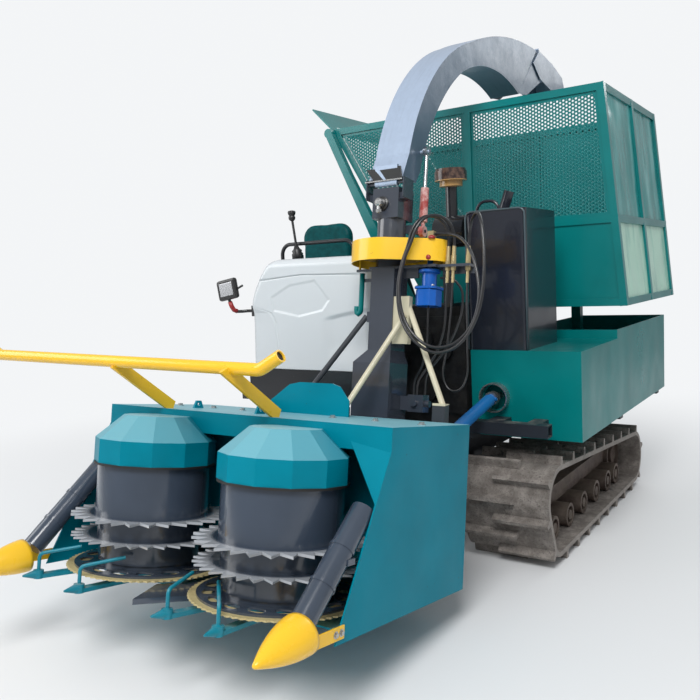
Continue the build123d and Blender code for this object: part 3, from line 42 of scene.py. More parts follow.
# The camera and the lamps come first.
CAMERA_AT = Vector((2.1776, -3.4623, 1.4441))
CAMERA_TURN, CAMERA_PITCH, CAMERA_ROLL = map(math.radians, (34.21, -5.7, -2.76))
LENS, SENSOR, FAR_CLIP = 38.83, 36, 200
SKY, SKY_STRENGTH = (0.93, 0.95, 0.97), 0.5
BACKDROP = (0.9, 0.915, 0.93)
FLOOR_HALF, FLOOR_Z, FLOOR_COLOR = 60, -0.001, (0.74, 0.75, 0.76)
FADE_FROM, FADE_TO = 1.6, 5.5


def plain_mesh(name, points, faces=()):
    mesh = bpy.data.meshes.new(name)
    mesh.from_pydata([tuple(p) for p in points], [], faces)
    return mesh


def set_camera():
    ahead = Vector((-math.sin(CAMERA_TURN) * math.cos(CAMERA_PITCH),
                    math.cos(CAMERA_TURN) * math.cos(CAMERA_PITCH), math.sin(CAMERA_PITCH)))
    across = Vector((math.cos(CAMERA_TURN), math.sin(CAMERA_TURN), 0))
    over = across.cross(ahead)
    right = across * math.cos(CAMERA_ROLL) + over * math.sin(CAMERA_ROLL)
    up = over * math.cos(CAMERA_ROLL) - across * math.sin(CAMERA_ROLL)
    data = bpy.data.cameras.new("camera")
    data.lens, data.sensor_width, data.clip_end = LENS, SENSOR, FAR_CLIP
    camera = bpy.data.objects.new("camera", data)
    camera.matrix_world = Matrix((right, up, -ahead)).transposed().to_4x4()
    camera.location = CAMERA_AT
    SCENE.collection.objects.link(camera)
    SCENE.camera = camera


def area_light(name, at, aim, size, watts):
    data = bpy.data.lights.new(name, "AREA")
    data.shape, data.size, data.energy = "DISK", size, watts
    lamp = bpy.data.objects.new(name, data)
    lamp.location = at
    lamp.rotation_euler = (Vector(aim) - Vector(at)).to_track_quat("-Z", "Y").to_euler()
    SCENE.collection.objects.link(lamp)


set_camera()
area_light("key", at=(2.2, -5.0, 6.2), aim=(0.1, -0.3, 1.0), size=3.5, watts=420)
area_light("left_fill", at=(-5.0, -3.5, 3.5), aim=(0, 0, 1.0), size=4.0, watts=130)
area_light("back_rim", at=(1.5, 6.0, 5.5), aim=(0, 0.5, 1.4), size=4.0, watts=150)
SCENE.view_settings.view_transform = "Standard"


# Places: the machine's own frame and the header's frame, which leans forward in it, both in millimetres.
SHIFT_X, SHIFT_Y = 105, -50
HEADER_Y, HEADER_Z = -1616, 301
LEAN = math.radians(10)


def at(x, y, z):
    """A point of the machine's own frame, in millimetres, as metres of the scene."""
    return Vector((x + SHIFT_X, y + SHIFT_Y, z)) / 1000


def on_header(x, u, w):
    """A point of the header's frame as metres of the scene: x to the right, u to the rear, w up."""
    return at(x, HEADER_Y + u * math.cos(LEAN) + w * math.sin(LEAN),
              HEADER_Z - u * math.sin(LEAN) + w * math.cos(LEAN))


UP_HEADER = on_header(0, 0, 1000) - on_header(0, 0, 0)


# Node trees, for the backdrop, the finishes and the shapes that repeat.
class Wire:
    """The output of a node, which can be added, multiplied and cut off like a number."""

    def __init__(self, owner, socket):
        self.owner, self.socket = owner, socket

    def _math(self, operation, *values):
        return self.owner.node("ShaderNodeMath", dict(enumerate(values)), operation=operation)

    def __add__(self, other):
        return self._math("ADD", self, other)

    def __mul__(self, other):
        return self._math("MULTIPLY", self, other)

    def __truediv__(self, other):
        return self._math("DIVIDE", self, other)

    def __gt__(self, other):
        return self._math("GREATER_THAN", self, other)

    def __rsub__(self, other):
        return self._math("SUBTRACT", other, self)

    def between(self, low, high):
        """0 below low, 1 above high, smooth between; high may be the smaller."""
        return self.owner.node("ShaderNodeMapRange", {"Value": self, "From Min": low, "From Max": high},
                               interpolation_type="SMOOTHSTEP")


class Nodes:
    """A node tree written down node by node; each input gets a value or the output of another node."""

    def __init__(self, tree):
        self.tree = tree

    def node(self, kind, inputs=None, output=0, **settings):
        made = self.tree.nodes.new(kind)
        for key, value in settings.items():
            setattr(made, key, value)
        for key, value in (inputs or {}).items():
            if isinstance(value, Wire):
                self.tree.links.new(value.socket, made.inputs[key])
            else:
                made.inputs[key].default_value = value
        return Wire(self, made.outputs[output])

    def seen_by_camera(self, light, backdrop, fade=1.0):
        """Camera rays get the backdrop, as far as fade says, and all other rays the light."""
        ray = self.node("ShaderNodeLightPath") * fade
        return self.node("ShaderNodeMixShader", {"Fac": ray, 1: light, 2: backdrop}).socket


class Finish(Nodes):
    """A procedural material on Object coordinates, in metres."""

    def __init__(self, name, rough, metal=0.0, coat=0.0, shine=0.5):
        self.material = bpy.data.materials.new(name)
        self.material.use_nodes = True
        super().__init__(self.material.node_tree)
        self.shade = self.tree.nodes["Principled BSDF"]
        for key, value in (("Roughness", rough), ("Metallic", metal), ("Coat Weight", coat),
                           ("Coat Roughness", 0.08), ("Specular IOR Level", shine)):
            self.shade.inputs[key].default_value = value
        self.place = self.node("ShaderNodeTexCoord", output="Object")

    def stretched(self, scale):
        return self.node("ShaderNodeMapping", {"Vector": self.place, "Scale": scale})

    def noise(self, scale, detail=3.0, rough=0.55, at=None):
        return self.node("ShaderNodeTexNoise",
                         {"Vector": at or self.place, "Scale": scale, "Detail": detail, "Roughness": rough})

    def cells(self, scale, output="Distance"):
        return self.node("ShaderNodeTexVoronoi", {"Vector": self.place, "Scale": scale}, output)

    def vectors(self, operation, first, second=(0, 0, 0), output=0):
        return self.node("ShaderNodeVectorMath", {0: first, 1: second}, output, operation=operation)

    def part(self, vector, axis):
        return self.node("ShaderNodeSeparateXYZ", {0: vector}, axis)

    def facing(self, axis):
        """How far the surface faces along x, y or z, as 0, 1 or 2."""
        return self.part(self.node("ShaderNodeTexCoord", output="Normal"), axis)

    def height(self):
        return self.part(self.place, 2)

    def across(self):
        return self.part(self.place, 0)

    def mix(self, mask, a, b):
        def full(c):
            return c if isinstance(c, Wire) else (*c, 1)
        return self.node("ShaderNodeMix", {0: mask, 6: full(a), 7: full(b)}, 2, data_type="RGBA")

    def feed(self, **wires):
        for key, wire in wires.items():
            self.tree.links.new(wire.socket, self.shade.inputs[key.replace("_", " ")])

    def relief(self, height, depth, under=None):
        """A bump of this depth in metres, on top of another one."""
        wires = {"Height": height, "Strength": 1.0, "Distance": depth}
        if under:
            wires["Normal"] = under
        return self.node("ShaderNodeBump", wires)


def set_world():
    """A soft sky lights the machine; the camera sees the plain backdrop in its place."""
    world = bpy.data.worlds.new("studio")
    SCENE.world = world
    world.use_nodes = True
    w = Nodes(world.node_tree)
    light, backdrop = (w.node("ShaderNodeBackground", {"Color": (*color, 1), "Strength": strength})
                       for color, strength in ((SKY, SKY_STRENGTH), (BACKDROP, 1.0)))
    w.tree.links.new(w.seen_by_camera(light, backdrop), w.tree.nodes["World Output"].inputs["Surface"])


def set_floor():
    """A pale floor that takes the backdrop's colour some way out, so that no horizon shows."""
    corners = [(i * FLOOR_HALF, j * FLOOR_HALF, FLOOR_Z) for i, j in ((-1, -1), (1, -1), (1, 1), (-1, 1))]
    floor = bpy.data.objects.new("floor", plain_mesh("floor", corners, [(0, 1, 2, 3)]))
    SCENE.collection.objects.link(floor)
    f = Finish("pale floor", 0.9)
    f.shade.inputs["Base Color"].default_value = (*FLOOR_COLOR, 1)
    backdrop = f.node("ShaderNodeEmission", {"Color": (*BACKDROP, 1)})
    fade = f.vectors("LENGTH", f.place, output=1).between(FADE_FROM, FADE_TO)
    f.tree.links.new(f.seen_by_camera(Wire(f, f.shade.outputs[0]), backdrop, fade),
                     f.tree.nodes["Material Output"].inputs["Surface"])
    floor.data.materials.append(f.material)


set_world()
set_floor()


# Finishes.
DUST = (0.36, 0.33, 0.28)
MUD = (0.17, 0.145, 0.115)


def tinted(color, by, lift=0.0):
    return tuple(c * by + lift for c in color)


def paint(name, color, rough=0.3, coat=0.2, dust=0.1, wave=0.0016, mud_line=0.5, shade=0.8, shine=0.35,
          body=None, painted_top_sheen=False):
    """Sprayed paint on sheet: cloudy colour, dust on what faces up, splashes low down, fine waves; when
    asked, a painted pale sky reflection on what faces up.
    """
    f = Finish(name, rough, 0.0, coat, shine)
    cloud = f.noise(2.3, 4)
    coloured = f.mix(cloud.between(0.35, 0.7), color, tinted(color, shade))
    if body:
        coloured = body(f, coloured)
    grit = f.noise(46, 5, 0.7)
    lying = f.facing(2).between(0.35, 1.0) * f.noise(5.5, 6, 0.65).between(0.42, 0.75) * dust
    splash = (f.noise(9, 6, 0.68) + grit * 0.4).between(0.62, 0.98)
    dirt = lying + f.height().between(mud_line, mud_line - 0.42) * splash * dust
    # Painted highlight: what faces up is mixed towards a pale sky colour, as the sky's reflection on the
    # tops.
    if painted_top_sheen:
        coloured = f.mix(f.facing(2).between(0.6, 1.0) * 0.72, coloured, (0.30, 0.56, 0.63))
    dusty = f.mix(dirt.between(0.0, 1.0), coloured, DUST)
    chips = f.noise(70, 2, 0.5).between(0.735, 0.75) * f.noise(3.1, 2).between(0.5, 0.62)
    peel = f.relief(f.noise(330, 2), 0.00012)
    f.feed(Base_Color=f.mix(chips, dusty, tinted(color, 0.35, 0.03)),
           Roughness=dirt * 0.5 + cloud * 0.16 + (rough - 0.08),
           Normal=f.relief(f.noise(3.4, 1.5, 0.3), wave * 6, peel))
    return f.material


def rolled_zinc(name):
    """Zinc-plated sheet: faint flakes, streaks along the rolling, and painted shade that darkens the
    right-hand side.
    """
    f = Finish(name, 0.36, 0.35, 0.15)
    tone = f.part(f.cells(60, "Color"), 0)
    streak = f.noise(1.0, 6, 0.6, f.stretched((55, 5, 5)))
    base = f.mix(tone, (0.39, 0.475, 0.61), (0.41, 0.50, 0.64))
    base = f.mix(streak.between(0.45, 0.8) * 0.25, base, (0.22, 0.27, 0.35))
    # Painted shade: faces that look to the right are darkened, for the shade on the spout's side.
    base = f.mix(f.facing(0).between(0.6, 0.9), base, (0.078, 0.125, 0.18))
    f.feed(Base_Color=base, Roughness=streak * 0.2 + tone * 0.08 + 0.26,
           Normal=f.relief(f.noise(5, 2, 0.4), 0.006, f.relief(f.noise(210, 3), 0.0002)))
    return f.material


def caked_rubber(name):
    """Rubber under dried mud, with bare dark patches and paler sides."""
    f = Finish(name, 0.85)
    lumps, grain = f.noise(14, 8, 0.66), f.noise(120, 6, 0.7)
    dry = f.mix(lumps.between(0.35, 0.7), (0.15, 0.132, 0.118), (0.29, 0.262, 0.238))
    crumbs = f.mix(grain.between(0.5, 0.7), dry, (0.09, 0.078, 0.07))
    sides = f.facing(0)
    crumbs = f.mix((sides * sides).between(0.4, 0.8) * 0.55, crumbs, (0.36, 0.33, 0.305))
    bare = (f.noise(6, 5, 0.7) + f.noise(40, 4, 0.7) * 0.35).between(0.78, 0.88)
    f.feed(Base_Color=f.mix(bare, crumbs, (0.05, 0.048, 0.046)), Roughness=0.95 - bare * 0.25,
           Normal=f.relief(lumps, 0.012, f.relief(grain, 0.004)))
    return f.material


def rough_iron(name, color, mud=0.6):
    """Cast iron with a coarse skin and a crust of mud."""
    f = Finish(name, 0.7, 0.3)
    cloud, grain = f.noise(18, 6, 0.65), f.noise(170, 4, 0.7)
    skin = f.mix(cloud.between(0.35, 0.7), color, tinted(color, 1.7, 0.01))
    crust = (f.noise(8, 8, 0.7) + f.facing(2) * 0.12).between(0.45, 0.66) * mud
    f.feed(Base_Color=f.mix(crust, skin, MUD), Roughness=crust * 0.3 + 0.55,
           Normal=f.relief(grain, 0.0016, f.relief(crust, 0.003)))
    return f.material


def bare_steel(name, color, rough, rust, metal):
    """Brushed metal with patches of rust."""
    f = Finish(name, rough, metal)
    brushed = f.noise(1.0, 5, 0.6, f.stretched((14, 160, 160)))
    patch = f.noise(11, 7, 0.7).between(0.52, 0.7) * rust
    base = f.mix(brushed, color, tinted(color, 0.72))
    f.feed(Base_Color=f.mix(patch, base, (0.16, 0.07, 0.03)),
           Roughness=patch * 0.4 + brushed * 0.15 + (rough - 0.05), Metallic=metal - patch * 0.6,
           Normal=f.relief(brushed + patch * 0.5, 0.0005))
    return f.material


def hard_chrome(name):
    f = Finish(name, 0.12, 1.0)
    rub = f.noise(14, 4, 0.6)
    f.feed(Base_Color=f.mix(rub, (0.66, 0.67, 0.69), (0.52, 0.53, 0.55)), Roughness=rub * 0.12 + 0.2)
    return f.material


def moulded(name, color, rough, coat, grain=0.0002, dust=0.25):
    """Plastic or rubber out of a mould, with a thin film of dust on what faces up."""
    f = Finish(name, rough, 0.0, coat)
    film = f.facing(2).between(0.2, 1.0) * f.noise(6, 6, 0.65).between(0.4, 0.8) * dust
    shade = f.mix(f.noise(2.0, 3), color, tinted(color, 0.94))
    f.feed(Base_Color=f.mix(film, shade, DUST), Roughness=film * 0.4 + rough,
           Normal=f.relief(f.noise(260, 3), grain, f.relief(f.noise(2.2, 1.5, 0.3), 0.004)))
    return f.material


def seat_vinyl(name, color):
    """Grained seat cover with soft creases."""
    f = Finish(name, 0.42, shine=0.1)
    hide, crease = f.cells(420), f.noise(30, 5, 0.6)
    f.feed(Base_Color=f.mix(crease.between(0.3, 0.75), color, tinted(color, 0.6)),
           Roughness=crease * 0.2 + 0.34, Normal=f.relief(crease, 0.0012, f.relief(hide, 0.0003)))
    return f.material


def oily_chain(name):
    f = Finish(name, 0.45, 0.8)
    links = f.node("ShaderNodeTexWave", {"Vector": f.place, "Scale": 30.0}, wave_type="BANDS",
                   bands_direction="DIAGONAL")
    f.feed(Base_Color=f.mix(links, (0.1, 0.09, 0.08), (0.3, 0.28, 0.25)), Roughness=links * 0.3 + 0.25,
           Normal=f.relief(links, 0.002))
    return f.material


def cream_and_dark(f, cream):
    """The stays: cream tubes, the left one and all the feet dark."""
    dark = f.across().between(0.263, 0.258)
    feet = f.height().between(0.872, 0.868)
    return f.mix((dark + feet).between(0.0, 1.0), cream, (0.03, 0.034, 0.042))


def bowl_bands(f, black):
    """The pre-cleaner: a tan ring below a dark brown bowl."""
    ring = f.height().between(1.868, 1.872) * f.height().between(1.906, 1.902)
    bowl = f.height().between(1.902, 1.906)
    brown = f.mix(f.noise(38, 4).between(0.4, 0.65), (0.035, 0.02, 0.018), (0.12, 0.07, 0.05))
    return f.mix(ring, f.mix(bowl, black, brown), (0.42, 0.25, 0.09))


ROTOR_X, ROTOR_U = 342, 205


def bright_teeth(f, grey):
    """The toothed rings outside each drum are worn to bright steel."""
    upright = (0, math.sin(LEAN), math.cos(LEAN))
    away = [f.vectors("SUBTRACT", f.place, on_header(x, ROTOR_U, 0)) for x in (-ROTOR_X, ROTOR_X)]
    left, right = (f.vectors("LENGTH", f.vectors("CROSS_PRODUCT", path, upright), output=1) for path in away)
    nearest = f.node("ShaderNodeMath", {0: left, 1: right}, operation="MINIMUM")
    above = f.vectors("DOT_PRODUCT", away[0], upright, 1)
    return f.mix(nearest.between(0.238, 0.262) * above.between(0.10, 0.105), grey, (0.36, 0.38, 0.41))


def worn_pink(f, red):
    return f.mix(f.noise(14, 6, 0.7).between(0.42, 0.62), red, (0.62, 0.42, 0.40))


def streaks_and_painted_reflection(f, teal):
    """Thin glossy panels with pale upright streaks, and a painted reflection that makes them paler low down.
    """
    streak = f.noise(1.0, 5, 0.6, f.stretched((9, 9, 1.2)))
    # Painted reflection: low down the panels turn pale, for the bright reflections on the lower panels.
    low = f.height().between(1.70, 1.64)
    pale = f.mix(low, (0.13, 0.46, 0.45), (0.42, 0.68, 0.55))
    return f.mix((streak + low * 0.3).between(0.42, 0.8), teal, pale)


TEAL = (0.0, 0.205, 0.285)
BODY_TEAL = (0.0, 0.172, 0.172)
GREY = (0.042, 0.058, 0.086)
BLACK = (0.014, 0.015, 0.018)
DRUM = {"rough": 0.2, "coat": 0.6, "wave": 0.0006, "mud_line": 0.3, "shine": 0.5}

FINISHES = {made.name: made for made in (
    paint("teal header paint", TEAL, rough=0.32, coat=0.0, wave=0.002, shine=0.1, painted_top_sheen=True),
    paint("teal body paint", BODY_TEAL, coat=0.08, wave=0.003, shine=0.2, dust=0.15),
    paint("teal bin paint", BODY_TEAL, mud_line=-1),
    paint("worn chassis paint", (0.018, 0.022, 0.03), rough=0.45, coat=0.1, dust=0.6, mud_line=0.6),
    paint("drum grey", GREY, **DRUM),
    paint("toothed drum", GREY, body=bright_teeth, **DRUM),
    paint("column grey", (0.042, 0.05, 0.068), rough=0.16, coat=0.7, dust=0.08, mud_line=-1, shine=0.5),
    bare_steel("saw yellow", (0.60, 0.50, 0.25), rough=0.42, rust=0.3, metal=0.2),
    paint("bright yellow", (0.88, 0.52, 0.022), rough=0.28, coat=0.3, dust=0.12, wave=0.001, shade=0.92),
    rolled_zinc("rolled zinc"),
    moulded("white shell", (0.60, 0.635, 0.66), rough=0.26, coat=0.3, dust=0.08),
    caked_rubber("caked rubber"),
    rough_iron("roller iron", (0.085, 0.062, 0.052)),
    rough_iron("engine iron", (0.012, 0.013, 0.015), mud=0.12),
    paint("black paint", BLACK, rough=0.35, coat=0.3, dust=0.12, mud_line=-1),
    paint("intake", BLACK, rough=0.22, coat=0.5, mud_line=-1, body=bowl_bands),
    paint("cabinet black", (0.011, 0.014, 0.024), rough=0.22, coat=0.5, wave=0.002, mud_line=-1,
          shine=0.5),
    paint("cabinet trim", (0.07, 0.10, 0.115), coat=0.3, mud_line=-1),
    paint("cylinder black", (0.02, 0.021, 0.023), coat=0.4, dust=0.2),
    hard_chrome("hard chrome"),
    paint("motor blue", (0.003, 0.10, 0.44), coat=0.4, dust=0.05, wave=0.0004, mud_line=-1),
    paint("shaft blue", (0.012, 0.14, 0.40), rough=0.36, dust=0.25, wave=0.0004),
    paint("stay paint", (0.60, 0.55, 0.40), rough=0.4, wave=0.0004, body=cream_and_dark),
    seat_vinyl("seat vinyl", (0.0, 0.072, 0.077)),
    paint("faded red", (0.36, 0.055, 0.05), rough=0.4, coat=0.1, dust=0.5, mud_line=-1, body=worn_pink),
    moulded("dark moulding", (0.012, 0.012, 0.013), rough=0.4, coat=0.2, grain=0.0006, dust=0.05),
    moulded("red moulding", (0.32, 0.02, 0.02), rough=0.35, coat=0.2, dust=0.05),
    hard_chrome("mirror"),
    # Painted shade: a plain black for the dark gap under the hood rims and for the inside of the bar's bore.
    moulded("seal black", (0.01, 0.01, 0.01), rough=0.6, coat=0.0, dust=0.0),
    moulded("hose rubber", (0.012, 0.012, 0.014), rough=0.32, coat=0.25, grain=0.0003, dust=0.1),
    bare_steel("brass plated", (0.62, 0.50, 0.27), rough=0.28, rust=0.2, metal=0.7),
    bare_steel("plated steel", (0.55, 0.55, 0.55), rough=0.25, rust=0.25, metal=0.9),
    oily_chain("chain steel"),
    paint("point paint", TEAL, rough=0.4, dust=0.5, mud_line=0.45),
    paint("pale gloss panel", (0.0, 0.225, 0.22), rough=0.2, coat=0.1, dust=0.03, wave=0.006, mud_line=-1,
          shine=0.2, body=streaks_and_painted_reflection),
)}
SLOT = {
    "teal body paint": "teal_paint", "teal bin paint": "teal_paint", "white shell": "white_shell",
    "seat vinyl": "seat_vinyl", "dark moulding": "mirror_glass", "red moulding": "mirror_glass",
    "mirror": "cylinder_rod", "seal black": "hose_rubber", "cabinet trim": "black_metal",
    "hose rubber": "hose_rubber", "plated steel": "chain_steel", "bright yellow": "yellow_paint",
    "rolled zinc": "galvanised",
}

NODE_FINISH = {
    "worn chassis paint": ["chassis_frame", "lift_arms"],
    "caked rubber": ["track_left", "track_right"],
    "roller iron": ["track_frames"],
    "engine iron": ["engine_block"],
    "teal body paint": ["side_bodies"],
    "teal bin paint": ["bin_stand", "bin_frame", "bin_sheets", "bin_mesh"],
    "pale gloss panel": ["bin_side_sheets"],
    "cabinet black": ["cabinet"],
    "intake": ["air_intake"],
    "plated steel": ["power_outlet"],
    "black paint": ["platform", "seat_base", "grab_rail"],
    "white shell": ["cowl"],
    "seat vinyl": ["seat_cushion", "seat_back"],
    "dark moulding": ["control_levers", "mirror"],
    "teal header paint": ["header_shell", "rotor_hoods", "gearboxes"],
    "point paint": ["crop_points"],
    "drum grey": ["crop_dividers"],
    "toothed drum": ["rotor_left", "rotor_right"],
    "saw yellow": ["saw_disc_left", "saw_disc_right"],
    "bright yellow": ["snouts", "push_bar", "chain_guard"],
    "column grey": ["column", "turning_tube"],
    "stay paint": ["column_stays"],
    "motor blue": ["slew_motor"],
    "chain steel": ["slew_chain", "drive_shaft_rod"],
    "shaft blue": ["drive_shaft_tube"],
    "rolled zinc": ["spout", "spout_flap"],
    "faded red": ["spout_barrel"],
    "hard chrome": ["spout_rod", "lift_rods", "tip_rods"],
    "cylinder black": ["lift_barrels", "tip_barrels"],
    "brass plated": ["hose_couplings"],
    "hose rubber": ["hose_loop_front", "hose_loop_rear", "hose_drop", "motor_hoses"],
}
for finish, nodes in NODE_FINISH.items():
    for node in nodes:
        NODES[node].data.materials.clear()
        NODES[node].data.materials.append(FINISHES[finish])


def take(item, finish, body, *nodes):
    """The piece gets its finish, its body and the CAD nodes that it stands for."""
    item.data.materials.clear()
    item.data.materials.append(FINISHES[finish])
    if item.name not in SCENE.collection.objects:
        SCENE.collection.objects.link(item)
    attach(item, body)
    if nodes:
        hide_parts(*nodes)
    finish in SLOT
    return item


# The three long hoses: each follows the route of its CAD tube, as one smooth line in the header's frame.
HOSES = {
    "hose_loop_front": (1.713, 14, [
        (475, 1032, 1508), (545, 1032, 1508), (622, 1010, 1478), (686, 980, 1404), (728, 962, 1302),
        (744, 952, 1186), (718, 945, 1078), (640, 938, 998), (534, 930, 984), (442, 922, 1044),
        (386, 916, 1140), (368, 914, 1256), (384, 918, 1376), (420, 924, 1462), (436, 930, 1530),
        (471, 969, 1584), (521, 1026, 1584), (557, 1068, 1530), (557, 1068, 1455)]),
    "hose_loop_rear": (1.924, 14, [
        (620, 1085, 1455), (620, 1085, 1530), (656, 1044, 1584), (702, 991, 1584), (738, 950, 1530),
        (760, 938, 1428), (770, 930, 1310), (766, 926, 1190), (734, 924, 1076), (660, 926, 986),
        (548, 932, 958), (440, 938, 1016), (368, 942, 1110), (344, 942, 1232), (358, 940, 1356),
        (396, 936, 1448), (412, 936, 1530), (447, 974, 1584), (496, 1030, 1584), (529, 1068, 1530),
        (529, 1068, 1455)]),
    "hose_drop": (1.032, 9, [
        (620, 1085, 1290), (620, 1085, 1200), (630, 1085, 1080), (636, 1084, 962), (644, 1084, 880),
        (612, 1084, 806), (548, 1082, 806), (516, 1080, 880), (534, 1078, 962), (546, 1074, 1080),
        (557, 1068, 1200), (557, 1068, 1290)]),
}


def hang_hose(name, diameter, route):
    """A hose of this diameter in millimetres, along its route in the header's frame, stands for the CAD node
    of its name.
    """
    curve = bpy.data.curves.new(name, "CURVE")
    curve.dimensions = "3D"
    spline = curve.splines.new("NURBS")
    spline.points.add(len(route) - 1)
    for point, place in zip(spline.points, route):
        point.co = (*on_header(*place), 1)
    spline.order_u = 3
    spline.use_endpoint_u = True
    spline.resolution_u = 10
    curve.bevel_depth, curve.bevel_resolution, curve.use_fill_caps = diameter / 2000, 3, True
    hose = take(bpy.data.objects.new(name + "_line", curve), "hose rubber", "header", name)
    tuple(on_header(*route[0]))


for name, (length, diameter, route) in HOSES.items():
    hang_hose(name, diameter, route)


# Plain pieces.
SHARP = 0.6        # an edge whose faces turn by more than this angle gets the small round


def round_edges(shape, radius, steps, angle=SHARP, edges=None):
    """The given edges of the shape, or all that are sharper than the angle, get a round."""
    edges = edges or [e for e in shape.edges if len(e.link_faces) == 2 and e.calc_face_angle() > angle]
    bmesh.ops.bevel(shape, geom=edges, offset=radius, segments=steps, affect="EDGES", profile=0.5,
                    clamp_overlap=True)


def piece(name, points, faces, finish, body, *nodes, smooth=False, bevel=0.0):
    """A piece from corner points in metres and faces; its edges may get a small round."""
    mesh = plain_mesh(name, points, faces)
    shape = bmesh.new()
    shape.from_mesh(mesh)
    bmesh.ops.recalc_face_normals(shape, faces=shape.faces)
    if bevel:
        round_edges(shape, bevel, 2)
    shape.to_mesh(mesh)
    shape.free()
    for face in mesh.polygons:
        face.use_smooth = smooth
    return take(bpy.data.objects.new(name, mesh), finish, body, *nodes)


def joined(*parts):
    """One list of points and one of faces from several (points, faces) pairs."""
    points, faces = [], []
    for more_points, more_faces in parts:
        faces += [tuple(i + len(points) for i in face) for face in more_faces]
        points += more_points
    return points, faces


def angles(sides):
    return (2 * math.pi * k / sides for k in range(sides))


def walls(sides, rings, first=0, around=False):
    """The faces between rings of points that follow each other; around also joins the last to the first."""
    return [(first + j * sides + k, first + j * sides + (k + 1) % sides,
             first + (j + 1) % rings * sides + (k + 1) % sides, first + (j + 1) % rings * sides + k)
            for j in range(rings if around else rings - 1) for k in range(sides)]


def capped(sides, rings):
    """The same faces with the two ends closed."""
    return walls(sides, rings) + [tuple(range(sides)), tuple(range((rings - 1) * sides, rings * sides))]


def fan(tip, first, sides):
    """The faces from one point to a ring of points."""
    return [(tip, first + k, first + (k + 1) % sides) for k in range(sides)]


def block(low, high, put=at):
    """A box between two corners, in the millimetres of the frame that put takes."""
    corners = [put(x, y, z) for z in (low[2], high[2]) for y in (low[1], high[1]) for x in (low[0], high[0])]
    return corners, [(0, 2, 3, 1), (4, 5, 7, 6), (0, 1, 5, 4), (2, 6, 7, 3), (0, 4, 6, 2), (1, 3, 7, 5)]


def sheet(corners, near, far, thin, put=at):
    """A flat plate from its corners and its two depths; thin is the axis of the depths: 0, 1 or 2."""
    n = len(corners)
    points = [put(*corner[:thin], depth, *corner[thin:]) for depth in (near, far) for corner in corners]
    return points, [tuple(range(n)), tuple(range(n, 2 * n))] + walls(n, 2)


def turned(middle, along, profile, sides=32):
    """A turned form with flat ends: profile is a list of (distance along the axis, radius) in metres."""
    turn = Vector(along).normalized().to_track_quat("Z", "Y").to_matrix()
    points = [Vector(middle) + turn @ Vector((r * math.cos(a), r * math.sin(a), h))
              for h, r in profile for a in angles(sides)]
    return points, capped(sides, len(profile))


def swept(line, radius, sides=16):
    """A round bar along a line of points, in metres, with its ends closed."""
    points, side = [], None
    for i, place in enumerate(line):
        ahead = (line[min(i + 1, len(line) - 1)] - line[max(i - 1, 0)]).normalized()
        side = (side - ahead * side.dot(ahead) if side else ahead.orthogonal()).normalized()
        over = ahead.cross(side)
        points += [place + (side * math.cos(a) + over * math.sin(a)) * radius for a in angles(sides)]
    return points, capped(sides, len(line))


def settled(item):
    """The mesh that the item's modifiers make of it."""
    return bpy.data.meshes.new_from_object(item.evaluated_get(bpy.context.evaluated_depsgraph_get()))


# Bolts and holes.
class Growth(Nodes):
    """A Geometry Nodes tree with named inputs, run once on a small mesh and turned into a plain one."""

    def __init__(self, name, finish, **inputs):
        super().__init__(bpy.data.node_groups.new(name, "GeometryNodeTree"))
        self.finish = finish
        for way in ("INPUT", "OUTPUT"):
            self.tree.interface.new_socket("Geometry", in_out=way, socket_type="NodeSocketGeometry")
        self.sockets = {}
        for key, value in inputs.items():
            kind = "NodeSocketInt" if isinstance(value, int) else "NodeSocketFloat"
            socket = self.tree.interface.new_socket(key, in_out="INPUT", socket_type=kind)
            socket.default_value = value
            self.sockets[key] = socket.identifier
        self.entry = self.tree.nodes.new("NodeGroupInput")

    def given(self, name):
        return Wire(self, self.entry.outputs[name])

    def join(self, *parts):
        both = self.node("GeometryNodeJoinGeometry")
        for part in parts:
            self.tree.links.new(part.socket, both.socket.node.inputs[0])
        return both

    def end(self, instance, rotation):
        """One instance on each point of the mesh, made real, with its material."""
        points = self.node("GeometryNodeMeshToPoints", {"Mesh": self.given("Geometry")})
        spread = self.node("GeometryNodeInstanceOnPoints",
                           {"Points": points, "Instance": instance, "Rotation": rotation})
        real = self.node("GeometryNodeRealizeInstances", {"Geometry": spread})
        coloured = self.node("GeometryNodeSetMaterial", {"Geometry": real, "Material": FINISHES[self.finish]})
        self.tree.links.new(coloured.socket, self.tree.nodes.new("NodeGroupOutput").inputs[0])

    def grow(self, name, mesh, body, *nodes, **sizes):
        base = bpy.data.objects.new(name, mesh)
        SCENE.collection.objects.link(base)
        maker = base.modifiers.new("grown", "NODES")
        maker.node_group = self.tree
        for key, value in sizes.items():
            maker[self.sockets[key]] = value
        plain = settled(base)
        base.modifiers.remove(maker)
        base.data = plain
        return take(base, self.finish, body, *nodes)


def bolt_tree():
    """Hexagonal heads on washers, one on each point, turned by the point's own facing."""
    g = Growth("bolts", "plated steel", Radius=0.009, Height=0.007, Seed=3)
    radius, height = g.given("Radius"), g.given("Height")
    head = g.node("GeometryNodeMeshCylinder", {"Vertices": 6, "Radius": radius, "Depth": height})
    lift = g.node("ShaderNodeCombineXYZ", {"Z": height * 0.7})
    raised = g.node("GeometryNodeTransform", {"Geometry": head, "Translation": lift})
    washer = g.node("GeometryNodeMeshCylinder",
                    {"Vertices": 20, "Radius": radius * 1.5, "Depth": height * 0.5})
    facing = g.node("GeometryNodeInputNamedAttribute", {"Name": "facing"}, data_type="FLOAT_VECTOR")
    turn = g.node("FunctionNodeAlignRotationToVector", {"Vector": facing}, axis="Z")
    any_turn = g.node("FunctionNodeRandomValue", {2: 0.0, 3: 1.0, "Seed": g.given("Seed")}, 1,
                      data_type="FLOAT")
    spin = g.node("FunctionNodeAxisAngleToRotation", {"Axis": (0, 0, 1), "Angle": any_turn})
    own = g.node("FunctionNodeRotateRotation", {"Rotation": turn, "Rotate By": spin}, rotation_space="LOCAL")
    g.end(g.join(raised, washer), own)
    return g


BOLTS = bolt_tree()


